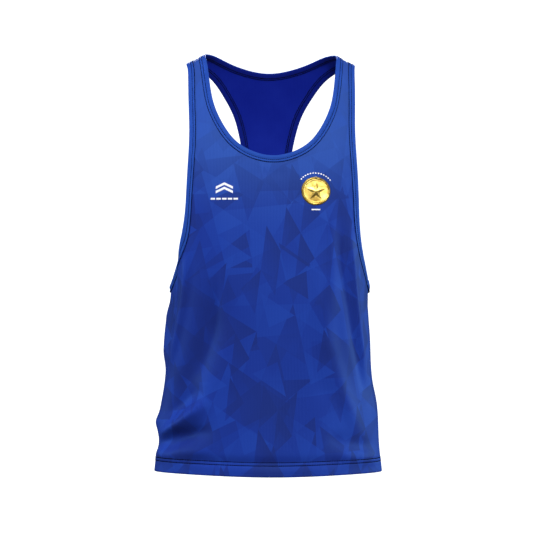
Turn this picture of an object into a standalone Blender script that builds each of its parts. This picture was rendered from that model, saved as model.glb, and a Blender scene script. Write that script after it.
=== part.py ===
"""Boxing vest: a racer-back training vest in printed knit, filled out with no wearer.

Metres, +Z up. The front faces -Y and the wearer's left side is at +X. The origin lies midway
between the tops of the two straps, where the wearer's shoulders carry the vest.

The vest is one smooth hollow surface, described by a map from the flat cloth to the worn shape.
A place on the cloth is given by two lengths:
    out   cloth distance from the centre line, to the right (+) or the left (-) seen from the front
    run   cloth distance from the shoulder line, down the front (+) or down the back (-)
Every piece is cut from that surface: two panels and three edge bindings.
"""
import math

import bpy
import numpy as np
from mathutils.geometry import delaunay_2d_cdt

MM = 0.001

# ---------------------------------------------------------------- driving sizes
LENGTH = 765 * MM            # shoulder line to hem, along the cloth
UNDERARM = 453 * MM          # shoulder line to the underarm point, along the cloth
RIDGE_RISE = 26 * MM         # the shoulder line at the centre, above the origin
SHOULDER_FALL = 2.05         # the shoulder line falls by this times out squared, per metre
FALL_FADES = (60 * MM, 330 * MM)     # that fall fades away between these two levels

PANEL_WALL = 1.2 * MM        # one layer of knit
HEM_WALL = 2.0 * MM          # the hem is turned up, so it is two layers
HEM_DEPTH = 24 * MM
BINDING_WIDTH = 11 * MM
BINDING_WALL = 2.2 * MM      # rib folded round the cut edge
BINDING_PROUD = 0.5 * MM     # how far a binding stands above the panel
UNDERARM_FLARE = 2.5 * MM    # the binding's join stands out at the underarm
RIGHT_FLARE = 0.3            # share of it on the wearer's right, which lies flatter
FLARE_REACH = 14 * MM
FLARE_FADES = 0.6            # share of the flare that is gone at the binding's inner edge
SEAM_GAP = 0.3 * MM          # between neighbouring pieces

COLUMN_STEP = 16 * MM        # spacing of a panel's points across
ROW_STEP = 12 * MM           # and down: the hem is two rows deep
EDGE_STEP = 11 * MM          # spacing of the points along an opening
EDGE_MARGIN = 0.45 * ROW_STEP        # no inner point lies nearer than this to the outline

# Plan sections of the filled vest, from the shoulder line to the hem, in millimetres.
# level: along the cloth. drop: below the shoulder line. half_width: centre to side seam.
# front, back: depth at the centre. square: 0 is an ellipse, above it boxier, below it a lens.
SECTION_COLUMNS = ("level", "drop", "half_width", "front", "back", "square")
SECTIONS = (
    (0, 0.0, 165, 0.0, 0.0, 0.090),
    (30, 8.0, 165, 28.5, 28.5, 0.090),
    (60, 29.6, 165, 48.8, 50.0, 0.090),
    (100, 66.4, 165, 64.4, 70.0, 0.090),
    (160, 123.1, 165, 84.0, 92.0, 0.090),
    (240, 200.6, 166, 104.0, 107.0, 0.090),
    (320, 279.8, 166, 115.0, 112.0, 0.080),
    (400, 359.7, 166, 119.0, 111.0, 0.065),
    (453, 412.7, 166, 119.5, 109.0, 0.050),
    (503, 462.7, 167.5, 118.5, 107.0, 0.035),
    (540, 499.7, 170.5, 117.5, 106.0, 0.020),
    (586, 545.7, 172.5, 117.0, 107.0, 0.005),
    (626, 585.7, 177, 117.0, 109.0, -0.010),
    (666, 625.7, 184, 118.0, 112.0, -0.025),
    (708, 667.7, 186.5, 120.0, 115.0, -0.040),
    (765, 724.7, 192, 123.0, 120.0, -0.055),
)

# The cut edge of the neck, from the front centre over the shoulder to the back centre (out, run).
NECK_EDGE = (
    (0, 237), (32, 230), (60, 210.5), (77, 186), (89, 160), (98, 133), (107, 83), (111.5, 43),
    (111, 0), (94, -28.5), (70, -53), (44, -70), (0, -82),
)
# The cut edge of an armhole, from near the underarm, up the front strap, over the shoulder and
# down the racer back to near the underarm again (out, run).
ARMHOLE_EDGE = (
    (216, 449.5), (194, 436), (168, 406), (153, 366), (147, 314), (142, 232), (141.5, 178),
    (144.5, 124), (147, 74), (148, 33), (149, 0), (131, -37), (100, -75.5), (76, -116.5),
    (59, -154), (49.5, -188.5), (43, -225), (41, -257), (47, -295), (66, -335), (100, -377),
    (150, -418), (196, -445),
)

# The main creases, in millimetres. A fold runs from its start to its end and bows sideways by
# bow at its middle. around: cloth distance from the front centre round the body, left minus.
# level: from the shoulder line. rise: a ridge is plus and a trough is minus.
FOLD_COLUMNS = ("around", "level", "to_around", "to_level", "bow", "width", "rise")
FOLDS = (
    # front, wearer's right side
    (-148, 360, -215, 611, 22, 9, 6.5),
    (-226, 470, -244, 600, 0, 26, 6.0),
    (-92, 430, -240, 690, 44, 24, -10.0),
    (-100, 636, -236, 714, 6, 13, 8.0),
    (-160, 668, -300, 694, 0, 13, 5.0),
    (-88, 692, -258, 726, -6, 12, -8.0),
    (-92, 722, -250, 738, 0, 11, 5.0),
    # front, wearer's left side
    (86, 345, 194, 735, -45, 15, 6.5),
    (114, 330, 162, 600, -5, 11, -5.5),
    (126, 335, 188, 630, -10, 10, 5.0),
    (92, 700, 200, 718, -2, 12, -4.5),
    (100, 734, 232, 738, 0, 12, 4.0),
    (92, 545, 98, 650, 0, 20, -2.0),
    # back
    (-300, 470, -262, 640, 10, 20, 6.0),
    (-345, 430, -300, 700, -14, 24, -7.0),
    (300, 500, 252, 690, -10, 20, 6.5),
    (350, 420, 318, 640, 12, 22, -6.0),
    (-420, 520, -395, 740, 8, 22, 5.0),
    (408, 560, 430, 740, -8, 22, 4.5),
)
FOLD_SAMPLES = 16            # straight pieces in a bowed fold
FOLD_FADE = 0.3              # share of a fold's length over which each end fades
SLOPE_STEP = 0.5 * MM        # half the span over which the surface's slopes are measured

KNIT_BLUE = (0.018, 0.058, 0.330)
KNIT_ROUGHNESS = 0.75
BINDING_BLUE = (0.040, 0.105, 0.430)
BINDING_ROUGHNESS = 0.8
SHARP_EDGE = math.radians(50)        # faces that meet at more than this are shaded apart


# ---------------------------------------------------------------- the surface
def natural_spline(keys, values):
    """A smooth curve through the values, as a function of an array of keys."""
    keys = np.asarray(keys, float)
    values = np.asarray(values, float)
    count = len(keys)
    step = np.diff(keys)
    slope = np.diff(values) / step
    matrix = np.eye(count)
    right_side = np.zeros(count)
    for i in range(1, count - 1):
        matrix[i, i - 1:i + 2] = step[i - 1], 2 * (step[i - 1] + step[i]), step[i]
        right_side[i] = 6 * (slope[i] - slope[i - 1])
    bend = np.linalg.solve(matrix, right_side)

    def curve(at):
        at = np.asarray(at, float)
        i = np.clip(np.searchsorted(keys, at) - 1, 0, count - 2)
        after = keys[i + 1] - at
        before = at - keys[i]
        cubic = (bend[i] * after**3 + bend[i + 1] * before**3) / (6 * step[i])
        start = (values[i] / step[i] - bend[i] * step[i] / 6) * after
        end = (values[i + 1] / step[i] - bend[i + 1] * step[i] / 6) * before
        return cubic + start + end

    return curve


def section_column(name, scale=MM):
    place = SECTION_COLUMNS.index(name)
    return [row[place] * scale for row in SECTIONS]


def over_the_shoulder(front, back):
    """A column for negative runs, from the back, followed by one for positive runs."""
    return back[:0:-1] + front


LEVEL = section_column("level")
BOTH_RUNS = over_the_shoulder(LEVEL, [-level for level in LEVEL])
drop_at = natural_spline(BOTH_RUNS, over_the_shoulder(section_column("drop"), section_column("drop")))
depth_at = natural_spline(
    BOTH_RUNS, over_the_shoulder(section_column("front"), [-d for d in section_column("back")]))
half_width_at = natural_spline(LEVEL, section_column("half_width"))
square_at = natural_spline(LEVEL, section_column("square", 1.0))


def smoothstep(t):
    t = np.clip(t, 0, 1)
    return t * t * (3 - 2 * t)


def on_section(angle, run):
    """The base surface at an angle round the body: 0 is the centre and 90 degrees the side seam."""
    level = np.abs(run)
    square = square_at(level)
    across = (np.sin(angle) + square * np.sin(3 * angle)) / (1 - square)
    deep = (np.cos(angle) - square * np.cos(3 * angle)) / (1 - square)
    x = half_width_at(level) * across
    fall = 1 - smoothstep((level - FALL_FADES[0]) / (FALL_FADES[1] - FALL_FADES[0]))
    z = RIDGE_RISE - drop_at(run) - SHOULDER_FALL * x * x * fall
    return np.stack([x, -depth_at(run) * deep, z], axis=-1)


SEAM_ANGLE = 90              # the side seam, in degrees round from the centre
PAST_SEAM = 30               # degrees past it that are measured too
ANGLES = np.radians(np.arange(0.0, SEAM_ANGLE + PAST_SEAM + 1))
RUN_STEP = 5 * MM
RUNS = np.arange(-LENGTH - 3 * RUN_STEP, LENGTH + 3 * RUN_STEP, RUN_STEP)


def girth_table():
    """For each run, the cloth distance from the centre line to every angle."""
    points = on_section(ANGLES[None, :], RUNS[:, None])
    steps = np.linalg.norm(np.diff(points, axis=1), axis=2)
    return np.concatenate([np.zeros((len(RUNS), 1)), np.cumsum(steps, axis=1)], axis=1)


GIRTH = girth_table()


def quarter_girth(run):
    """Cloth distance from the centre line to the side seam."""
    return np.interp(run, RUNS, GIRTH[:, SEAM_ANGLE])


def angle_of(out, run):
    """The angle round the body of points given by their cloth distances."""
    out = np.abs(out)
    low = np.clip(((run - RUNS[0]) / RUN_STEP).astype(int), 0, len(RUNS) - 2)
    share = (run - RUNS[low]) / RUN_STEP
    angle = np.zeros(len(out))
    for row in np.unique(low):
        mine = low == row
        lower = np.interp(out[mine], GIRTH[row], ANGLES)
        upper = np.interp(out[mine], GIRTH[row + 1], ANGLES)
        angle[mine] = lower + share[mine] * (upper - lower)
    return angle


def base_point(out, run):
    point = on_section(angle_of(out, run), run)
    point[:, 0] *= np.where(out < 0, -1, 1)
    return point


def fold_height(out, run):
    """How far the folds push the cloth out, or in where it is negative."""
    level = np.abs(run)
    behind = quarter_girth(level) + quarter_girth(-level) - np.abs(out)
    around = np.where(run >= 0, out, np.where(out < 0, -1, 1) * behind)
    height = np.zeros(len(out))
    for row in FOLDS:
        fold = dict(zip(FOLD_COLUMNS, row))
        start = np.array([fold["around"], fold["level"]]) * MM
        end = np.array([fold["to_around"], fold["to_level"]]) * MM
        side = np.array([end[1] - start[1], start[0] - end[0]]) / np.linalg.norm(end - start)
        share = np.linspace(0, 1, FOLD_SAMPLES + 1)[:, None]
        path = start + (end - start) * share + side * fold["bow"] * MM * 4 * share * (1 - share)
        nearest = np.full(len(out), 1e9)
        place = np.zeros(len(out))
        for i in range(FOLD_SAMPLES):
            piece = path[i + 1] - path[i]
            away_x, away_y = around - path[i, 0], level - path[i, 1]
            t = np.clip((away_x * piece[0] + away_y * piece[1]) / (piece @ piece), 0, 1)
            distance = np.hypot(away_x - t * piece[0], away_y - t * piece[1])
            closer = distance < nearest
            nearest = np.where(closer, distance, nearest)
            place = np.where(closer, (i + t) / FOLD_SAMPLES, place)
        strength = smoothstep(place / FOLD_FADE) * smoothstep((1 - place) / FOLD_FADE)
        height += fold["rise"] * MM * strength * np.exp(-(nearest / (fold["width"] * MM))**2)
    return height


def slopes(out, run):
    """How the surface moves per metre of out and per metre of run."""
    along_out = base_point(out + SLOPE_STEP, run) - base_point(out - SLOPE_STEP, run)
    along_run = base_point(out, run + SLOPE_STEP) - base_point(out, run - SLOPE_STEP)
    return along_out / (2 * SLOPE_STEP), along_run / (2 * SLOPE_STEP)


def worn(places, lift=0.0):
    """World points of cloth places (out, run), with the folds, raised by lift."""
    out, run = np.asarray(places, float).T
    along_out, along_run = slopes(out, run)
    outward = np.cross(along_run, along_out)
    outward /= np.linalg.norm(outward, axis=1)[:, None]
    height = fold_height(out, run) + lift
    return base_point(out, run) + outward * height[:, None]


# ---------------------------------------------------------------- the cut edges
def sampled(rows):
    """Evenly spaced places on a smooth curve through the rows, and the curve itself."""
    rows = np.asarray(rows, float)
    length = np.concatenate([[0], np.cumsum(np.linalg.norm(np.diff(rows, axis=0), axis=1))])
    across = natural_spline(length, rows[:, 0])
    down = natural_spline(length, rows[:, 1])

    def curve(first, last, step):
        count = max(2, round((length[last] - length[first]) / step) + 1)
        at = np.linspace(length[first], length[last], count)
        return np.stack([across(at), down(at)], axis=1)

    return curve


def neck_edge():
    """The right half of the neck edge, front centre to back centre."""
    rows = [(out * MM, run * MM) for out, run in NECK_EDGE]
    before = [(-out, run) for out, run in rows[3:0:-1]]
    after = [(-out, run) for out, run in rows[-2:-5:-1]]
    return sampled(before + rows + after)(3, 2 + len(rows), EDGE_STEP)


def armhole_edge():
    """The right armhole edge, from the underarm up the front and down the back to it."""
    rows = [(out * MM, run * MM) for out, run in ARMHOLE_EDGE]
    front = quarter_girth(UNDERARM)
    back = quarter_girth(-UNDERARM)
    before = [(2 * front - rows[0][0], rows[0][1]), (front, UNDERARM)]
    after = [(back, -UNDERARM), (2 * back - rows[-1][0], rows[-1][1])]
    return sampled(before + rows + after)(1, 2 + len(rows), EDGE_STEP)


def into_cloth(edge, hole):
    """For each place on an edge, the step in (out, run) that goes one metre into the cloth."""
    along_out, along_run = slopes(*edge.T)
    ahead = np.gradient(edge, axis=0)
    ahead[0, 1] = ahead[-1, 1] = 0
    tangent = along_out * ahead[:, :1] + along_run * ahead[:, 1:]
    normal = np.cross(along_run, along_out)
    square_on = np.cross(normal, tangent)
    square_on /= np.linalg.norm(square_on, axis=1)[:, None]
    steps = []
    for a, b, direction in zip(along_out, along_run, square_on):
        metric = np.array([[a @ a, a @ b], [a @ b, b @ b]])
        steps.append(np.linalg.solve(metric, [a @ direction, b @ direction]))
    steps = np.array(steps)
    away = np.sum(steps * (edge - np.array(hole)), axis=1)
    return steps * np.sign(np.median(away))


NECK_HOLE = (0.0, 60 * MM)           # a place inside each opening, in out and run
ARMHOLE_HOLE = (400 * MM, 0.0)


def up_to_shoulder(line, front):
    """The part of a line on one panel, cut where it meets the shoulder seam."""
    limit = SEAM_GAP / 2
    run = line[:, 1] if front else -line[:, 1]
    keep = line[run > limit]
    last = int(np.argmax(run <= limit)) if run[0] > limit else int(np.argmax(run > limit))
    share = (limit - run[last - 1]) / (run[last] - run[last - 1])
    crossing = line[last - 1] + share * (line[last] - line[last - 1])
    return np.vstack([keep, crossing]) if run[0] > limit else np.vstack([crossing, keep])


def panel_outline(front):
    """The outline of a panel, right half first and then its mirror image."""
    side = 1 if front else -1
    edge = BINDING_WIDTH + SEAM_GAP
    neck = neck_edge()
    neck = neck + into_cloth(neck, NECK_HOLE) * edge
    arm = armhole_edge()
    arm = arm + into_cloth(arm, ARMHOLE_HOLE) * edge
    neck = up_to_shoulder(neck, front)
    arm = up_to_shoulder(arm, front)
    if not front:
        neck = neck[::-1]
    else:
        arm = arm[::-1]
    arm[-1, 0] = quarter_girth(arm[-1, 1]) - SEAM_GAP / 2
    shoulder = between(neck[-1], arm[0], EDGE_STEP)[1:-1]
    levels = between(np.array([0, arm[-1, 1]]), np.array([0, side * LENGTH]), ROW_STEP)[1:, 1]
    seam = np.stack([quarter_girth(levels) - SEAM_GAP / 2, levels], axis=1)
    hem = between(seam[-1], np.array([0, side * LENGTH]), COLUMN_STEP)[1:]
    half = np.vstack([neck, shoulder, arm, seam, hem])
    mirror = half[::-1][1:-1] * np.array([-1, 1])
    return np.vstack([half, mirror])


def between(start, end, step):
    count = max(2, round(float(np.linalg.norm(end - start)) / step) + 1)
    return start + (end - start) * np.linspace(0, 1, count)[:, None]


def inside(outline, places, margin):
    """The places that lie inside a closed outline and at least margin from it."""
    a = outline
    b = np.roll(outline, -1, axis=0)
    x, y = places[:, 0:1], places[:, 1:2]
    spans = (a[:, 1] > y) != (b[:, 1] > y)
    rise = np.where(b[:, 1] == a[:, 1], 1e-12, b[:, 1] - a[:, 1])
    crossing = a[:, 0] + (y - a[:, 1]) / rise * (b[:, 0] - a[:, 0])
    within = np.sum(spans & (x < crossing), axis=1) % 2 == 1
    piece = b - a
    t = ((x - a[:, 0]) * piece[:, 0] + (y - a[:, 1]) * piece[:, 1]) / np.sum(piece**2, axis=1)
    t = np.clip(t, 0, 1)
    distance = np.hypot(x - a[:, 0] - t * piece[:, 0], y - a[:, 1] - t * piece[:, 1])
    return places[within & (distance.min(axis=1) > margin)]


def panel_net(outline, front):
    """Triangles over a panel: its outline, and rows of points in a staggered net."""
    places = []
    columns = round(outline[:, 0].max() / COLUMN_STEP) + 1
    for row in range(1, round(LENGTH / ROW_STEP)):
        run = LENGTH - row * ROW_STEP
        shift = 0.5 * (row % 2)
        for column in range(-columns, columns + 1):
            places.append(((column + shift) * COLUMN_STEP, run if front else -run))
    filling = inside(outline, np.array(places), EDGE_MARGIN)
    points = np.vstack([outline, filling])
    border = [list(range(len(outline)))]
    kept, _, faces, *_ = delaunay_2d_cdt([tuple(p) for p in points], [], border, 1, 1e-7)
    return np.array([tuple(p) for p in kept]), [tuple(face) for face in faces]


# ---------------------------------------------------------------- objects
def material(name, colour, roughness):
    look = bpy.data.materials.new(name)
    look.use_nodes = True
    shader = look.node_tree.nodes["Principled BSDF"]
    shader.inputs["Base Color"].default_value = (*colour, 1.0)
    shader.inputs["Roughness"].default_value = roughness
    shader.inputs["Metallic"].default_value = 0.0
    return look


def add_wall(name, outer, inner, faces, look, collection):
    """One closed body between an outer and an inner skin, with a rim along every free edge."""
    count = len(outer)
    faces = outward_faces(outer, faces)
    used = {(face[i - 1], face[i]) for face in faces for i in range(len(face))}
    rim = [(b, a, a + count, b + count) for a, b in sorted(used) if (b, a) not in used]
    lining = [tuple(i + count for i in face[::-1]) for face in faces]
    mesh = bpy.data.meshes.new(name)
    mesh.from_pydata([tuple(p) for p in np.vstack([outer, inner])], [], faces + lining + rim)
    mesh.materials.append(look)
    mesh.shade_smooth()
    mesh.set_sharp_from_angle(angle=SHARP_EDGE)
    body = bpy.data.objects.new(name, mesh)
    collection.objects.link(body)
    return body


HOLLOW_TOP = -100 * MM       # the hollow's middle line starts at this height and goes down
HOLLOW_FALL = 0.25           # it is seen lower from a face farther to the front or the back


def outward_faces(points, faces):
    """The faces, each turned so that its normal points away from the vest's hollow."""
    turned = []
    for face in faces:
        corners = points[list(face)]
        normal = np.cross(corners[1] - corners[0], corners[2] - corners[0])
        middle = corners.mean(axis=0)
        height = min(middle[2] - HOLLOW_FALL * abs(middle[1]), HOLLOW_TOP)
        facing_out = normal @ (middle - np.array([0.0, 0.0, height])) > 0
        turned.append(tuple(face) if facing_out else tuple(face[::-1]))
    return turned


def make_panel(name, front, look, collection):
    """A panel in one layer of knit, with its turned-up hem about twice as thick."""
    outline = panel_outline(front)
    places, faces = panel_net(outline, front)
    in_hem = np.abs(places[:, 1]) > LENGTH - HEM_DEPTH - SEAM_GAP
    wall = np.where(in_hem, HEM_WALL, PANEL_WALL)
    add_wall(name, worn(places), worn(places, -wall), faces, look, collection)


def make_binding(name, edge, hole, side, look, collection):
    """A folded band along a cut edge: a ring of cross rows, as wide as the binding.

    side 0 is the neck, whose edge is a right half to be mirrored. An armhole's edge is already
    a whole ring, and side -1 mirrors it to the left.
    """
    steps = into_cloth(edge, hole)
    outer = []
    inner = []
    for share in (0.0, 0.5, 1.0):
        places = edge + steps * BINDING_WIDTH * share
        if side == 0:
            places = np.vstack([places, places[::-1][1:-1] * np.array([-1, 1])])
            lift = BINDING_PROUD
        else:
            places = places[:-1]
            nearness = np.exp(-((np.abs(places[:, 1]) - UNDERARM) / FLARE_REACH)**2)
            flare = UNDERARM_FLARE if side > 0 else UNDERARM_FLARE * RIGHT_FLARE
            lift = BINDING_PROUD + flare * nearness * (1 - FLARE_FADES * share)
            places = places * np.array([side, 1])
        outer.append(worn(places, lift))
        inner.append(worn(places, lift - BINDING_WALL))
    count = len(outer[0])
    faces = []
    for row in range(len(outer) - 1):
        for i in range(count):
            j = (i + 1) % count
            near, far = row * count, (row + 1) * count
            faces.append((near + i, near + j, far + j, far + i))
    add_wall(name, np.vstack(outer), np.vstack(inner), faces, look, collection)


def main():
    for old in list(bpy.data.objects):
        bpy.data.objects.remove(old)
    collection = bpy.data.collections.new("boxing_vest")
    bpy.context.scene.collection.children.link(collection)
    knit = material("printed_knit", KNIT_BLUE, KNIT_ROUGHNESS)
    rib = material("binding_rib", BINDING_BLUE, BINDING_ROUGHNESS)
    make_panel("front_panel", True, knit, collection)
    make_panel("back_panel", False, knit, collection)
    make_binding("neck_binding", neck_edge(), NECK_HOLE, 0, rib, collection)
    make_binding("armhole_binding_left", armhole_edge(), ARMHOLE_HOLE, 1, rib, collection)
    make_binding("armhole_binding_right", armhole_edge(), ARMHOLE_HOLE, -1, rib, collection)


main()
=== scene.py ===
# %% [markdown]
# # A racer-back boxing vest, filled out with no wearer
# The real vest is five pieces of light polyester knit: a front, a racer back, and three narrow
# strips of the same knit that bind the neck and the two armholes. The hem is turned up and sewn
# with two rows of stitches. It hangs from the shoulders, so here it is a thin hollow skin in the
# shape that a body gives it. It could be draped by a cloth simulation, but the creases would then
# fall where they like. Instead every piece is cut from one surface written as a formula, and the
# creases are laid on it.

import math

import bmesh
import bpy
import numpy as np
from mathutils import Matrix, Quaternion, Vector
from mathutils.geometry import delaunay_2d_cdt
from mathutils.kdtree import KDTree


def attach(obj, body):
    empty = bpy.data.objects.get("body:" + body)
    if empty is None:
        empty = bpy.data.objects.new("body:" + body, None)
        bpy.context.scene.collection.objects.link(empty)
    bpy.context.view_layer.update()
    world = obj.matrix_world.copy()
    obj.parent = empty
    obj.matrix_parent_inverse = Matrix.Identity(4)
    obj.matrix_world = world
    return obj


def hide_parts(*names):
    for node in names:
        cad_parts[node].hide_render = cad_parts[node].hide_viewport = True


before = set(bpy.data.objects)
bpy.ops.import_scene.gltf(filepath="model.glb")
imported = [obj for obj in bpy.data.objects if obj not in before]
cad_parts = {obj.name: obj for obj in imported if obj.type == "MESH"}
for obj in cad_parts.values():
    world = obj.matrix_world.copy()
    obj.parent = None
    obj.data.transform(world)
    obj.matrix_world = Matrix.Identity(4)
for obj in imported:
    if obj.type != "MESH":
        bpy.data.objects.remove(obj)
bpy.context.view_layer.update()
print("solids:", sorted(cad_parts))

# %% [markdown]
# ## The filled shape
# On the real vest the shape comes from the flat cut and from the body inside it. One way to copy
# that is to model a torso and shrink cloth onto it. Here a short table of plan sections does the
# same job: each row says how wide and how deep the vest is at one height. A place on the cloth is
# given by two lengths, as a maker would measure it: `out`, from the centre line to the right of
# the picture, and `run`, from the shoulder line down the front, or down the back if it is minus.

# %% Driving sizes, in metres
MM = 0.001
LENGTH = 765 * MM                    # shoulder line to hem, along the cloth
UNDERARM = 453 * MM                  # shoulder line to underarm
RIDGE_RISE = 26 * MM                 # the shoulder line at the centre, above the mount
SHOULDER_FALL = 2.05                 # it falls by this times out squared, per metre
FALL_FADES = (60 * MM, 330 * MM)     # and that fall fades between these levels
HEM_DEPTH = 24 * MM
BINDING_WIDTH = 11 * MM
UNDERARM_FLARE = 2.5 * MM            # the binding's join stands out at the underarm
RIGHT_FLARE = 0.3                    # share of it on the wearer's right, which lies flatter
SOFT_FLARE = 0.75                    # share of it that the soft strip shows
FLARE_REACH = 14 * MM
print("cloth from the shoulder line to the hem:", LENGTH, "m")

# %% Plan sections, in millimetres, from the shoulder line to the hem
SECTION_COLUMNS = ("level", "drop", "half_width", "front", "back", "square")
SECTIONS = (
    (0, 0.0, 165, 0.0, 0.0, 0.090),
    (30, 8.0, 165, 28.5, 28.5, 0.090),
    (60, 29.6, 165, 48.8, 50.0, 0.090),
    (100, 66.4, 165, 64.4, 70.0, 0.090),
    (160, 123.1, 165, 84.0, 92.0, 0.090),
    (240, 200.6, 166, 104.0, 107.0, 0.090),
    (320, 279.8, 166, 115.0, 112.0, 0.080),
    (400, 359.7, 166, 119.0, 111.0, 0.065),
    (453, 412.7, 166, 119.5, 109.0, 0.050),
    (503, 462.7, 167.5, 118.5, 107.0, 0.035),
    (540, 499.7, 170.5, 117.5, 106.0, 0.020),
    (586, 545.7, 172.5, 117.0, 107.0, 0.005),
    (626, 585.7, 177, 117.0, 109.0, -0.010),
    (666, 625.7, 184, 118.0, 112.0, -0.025),
    (708, 667.7, 186.5, 120.0, 115.0, -0.040),
    (765, 724.7, 192, 123.0, 120.0, -0.055),
)


def natural_spline(keys, values):
    """A smooth curve through the values, as a function of an array of keys."""
    keys = np.asarray(keys, float)
    values = np.asarray(values, float)
    count = len(keys)
    step = np.diff(keys)
    slope = np.diff(values) / step
    matrix = np.eye(count)
    right_side = np.zeros(count)
    for i in range(1, count - 1):
        matrix[i, i - 1:i + 2] = step[i - 1], 2 * (step[i - 1] + step[i]), step[i]
        right_side[i] = 6 * (slope[i] - slope[i - 1])
    bend = np.linalg.solve(matrix, right_side)

    def curve(at):
        at = np.asarray(at, float)
        i = np.clip(np.searchsorted(keys, at) - 1, 0, count - 2)
        after = keys[i + 1] - at
        before = at - keys[i]
        cubic = (bend[i] * after**3 + bend[i + 1] * before**3) / (6 * step[i])
        start = (values[i] / step[i] - bend[i] * step[i] / 6) * after
        end = (values[i + 1] / step[i] - bend[i + 1] * step[i] / 6) * before
        return cubic + start + end

    return curve


def section_column(name, scale=MM):
    """One column of the table of sections."""
    place = SECTION_COLUMNS.index(name)
    return [row[place] * scale for row in SECTIONS]


def over_the_shoulder(front, back):
    """Values for negative runs, from the back, followed by those for positive runs."""
    return back[:0:-1] + front


levels = section_column("level")
both_runs = over_the_shoulder(levels, [-level for level in levels])
drops = section_column("drop")
backs = [-depth for depth in section_column("back")]
drop_at = natural_spline(both_runs, over_the_shoulder(drops, drops))
depth_at = natural_spline(both_runs, over_the_shoulder(section_column("front"), backs))
half_width_at = natural_spline(levels, section_column("half_width"))
square_at = natural_spline(levels, section_column("square", 1.0))
print("half width at the underarm:", round(float(half_width_at(UNDERARM)), 4), "m")

# %% [markdown]
# ## From flat cloth to the worn shape
# Cloth bends but hardly stretches, so distances measured on it must stay true when it is worn.
# Each section is a squared-off ellipse. Its girth is measured once in small steps, and a table
# then turns a cloth distance into an angle round the body. That keeps the print, the stitches and
# the marks the right size wherever they lie, which a plain projection from the front wouldn't.


# %% The base surface
def smoothstep(t):
    """Goes from 0 to 1 with soft ends, as t does."""
    t = np.clip(t, 0, 1)
    return t * t * (3 - 2 * t)


def on_section(angle, run):
    """The surface at an angle round the body: 0 is the centre and 90 degrees the side seam."""
    level = np.abs(run)
    square = square_at(level)
    across = (np.sin(angle) + square * np.sin(3 * angle)) / (1 - square)
    deep = (np.cos(angle) - square * np.cos(3 * angle)) / (1 - square)
    x = half_width_at(level) * across
    fall = 1 - smoothstep((level - FALL_FADES[0]) / (FALL_FADES[1] - FALL_FADES[0]))
    z = RIDGE_RISE - drop_at(run) - SHOULDER_FALL * x * x * fall
    return np.stack([x, -depth_at(run) * deep, z], axis=-1)


chest_depth = on_section(0.0, -UNDERARM)[1] - on_section(0.0, UNDERARM)[1]
print("depth at the underarm:", round(float(chest_depth), 4), "m")

# %% Cloth distances turned into angles
SEAM_ANGLE = 90                      # degrees from the centre line to the side seam
ANGLES = np.radians(np.arange(0.0, SEAM_ANGLE + 31.0))       # one a degree, and 30 past the seam
RUN_STEP = 5 * MM
RUNS = np.arange(-LENGTH - 3 * RUN_STEP, LENGTH + 3 * RUN_STEP, RUN_STEP)


def girth_table():
    """For each run, the cloth distance from the centre line to every angle."""
    points = on_section(ANGLES[None, :], RUNS[:, None])
    steps = np.linalg.norm(np.diff(points, axis=1), axis=2)
    return np.concatenate([np.zeros((len(RUNS), 1)), np.cumsum(steps, axis=1)], axis=1)


GIRTH = girth_table()


def quarter_girth(run):
    """Cloth distance from the centre line to the side seam."""
    return np.interp(run, RUNS, GIRTH[:, SEAM_ANGLE])


def angle_of(out, run):
    """The angle round the body at each place on the cloth, read from the table of girths."""
    out = np.abs(out)
    low = np.clip(((run - RUNS[0]) / RUN_STEP).astype(int), 0, len(RUNS) - 2)
    share = (run - RUNS[low]) / RUN_STEP
    angle = np.zeros(len(out))
    for row in np.unique(low):
        mine = low == row
        lower = np.interp(out[mine], GIRTH[row], ANGLES)
        upper = np.interp(out[mine], GIRTH[row + 1], ANGLES)
        angle[mine] = lower + share[mine] * (upper - lower)
    return angle


def base_point(out, run):
    """World points of cloth places on the surface without its creases."""
    point = on_section(angle_of(out, run), run)
    point[:, 0] *= np.where(out < 0, -1, 1)
    return point


def slopes(out, run):
    """How the surface moves per metre of out and per metre of run."""
    step = 0.5 * MM
    along_out = (base_point(out + step, run) - base_point(out - step, run)) / (2 * step)
    along_run = (base_point(out, run + step) - base_point(out, run - step)) / (2 * step)
    return along_out, along_run


hem_round = 2 * (quarter_girth(LENGTH) + quarter_girth(-LENGTH))
print("hem, all round:", round(float(hem_round), 3), "m")

# %% [markdown]
# ## The creases
# A light knit hangs nearly smooth over the chest and breaks into a few long soft folds at the
# sides, where the cloth is wider than the body. They could be left to a simulation, or sculpted.
# Here each one is a row in a table: a line on the cloth that bows a little, with a width and a
# rise. They differ in length, depth and spacing, as real ones do. The first table has the folds
# that the solids have too, and the second the finer ones that only show close to.

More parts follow.
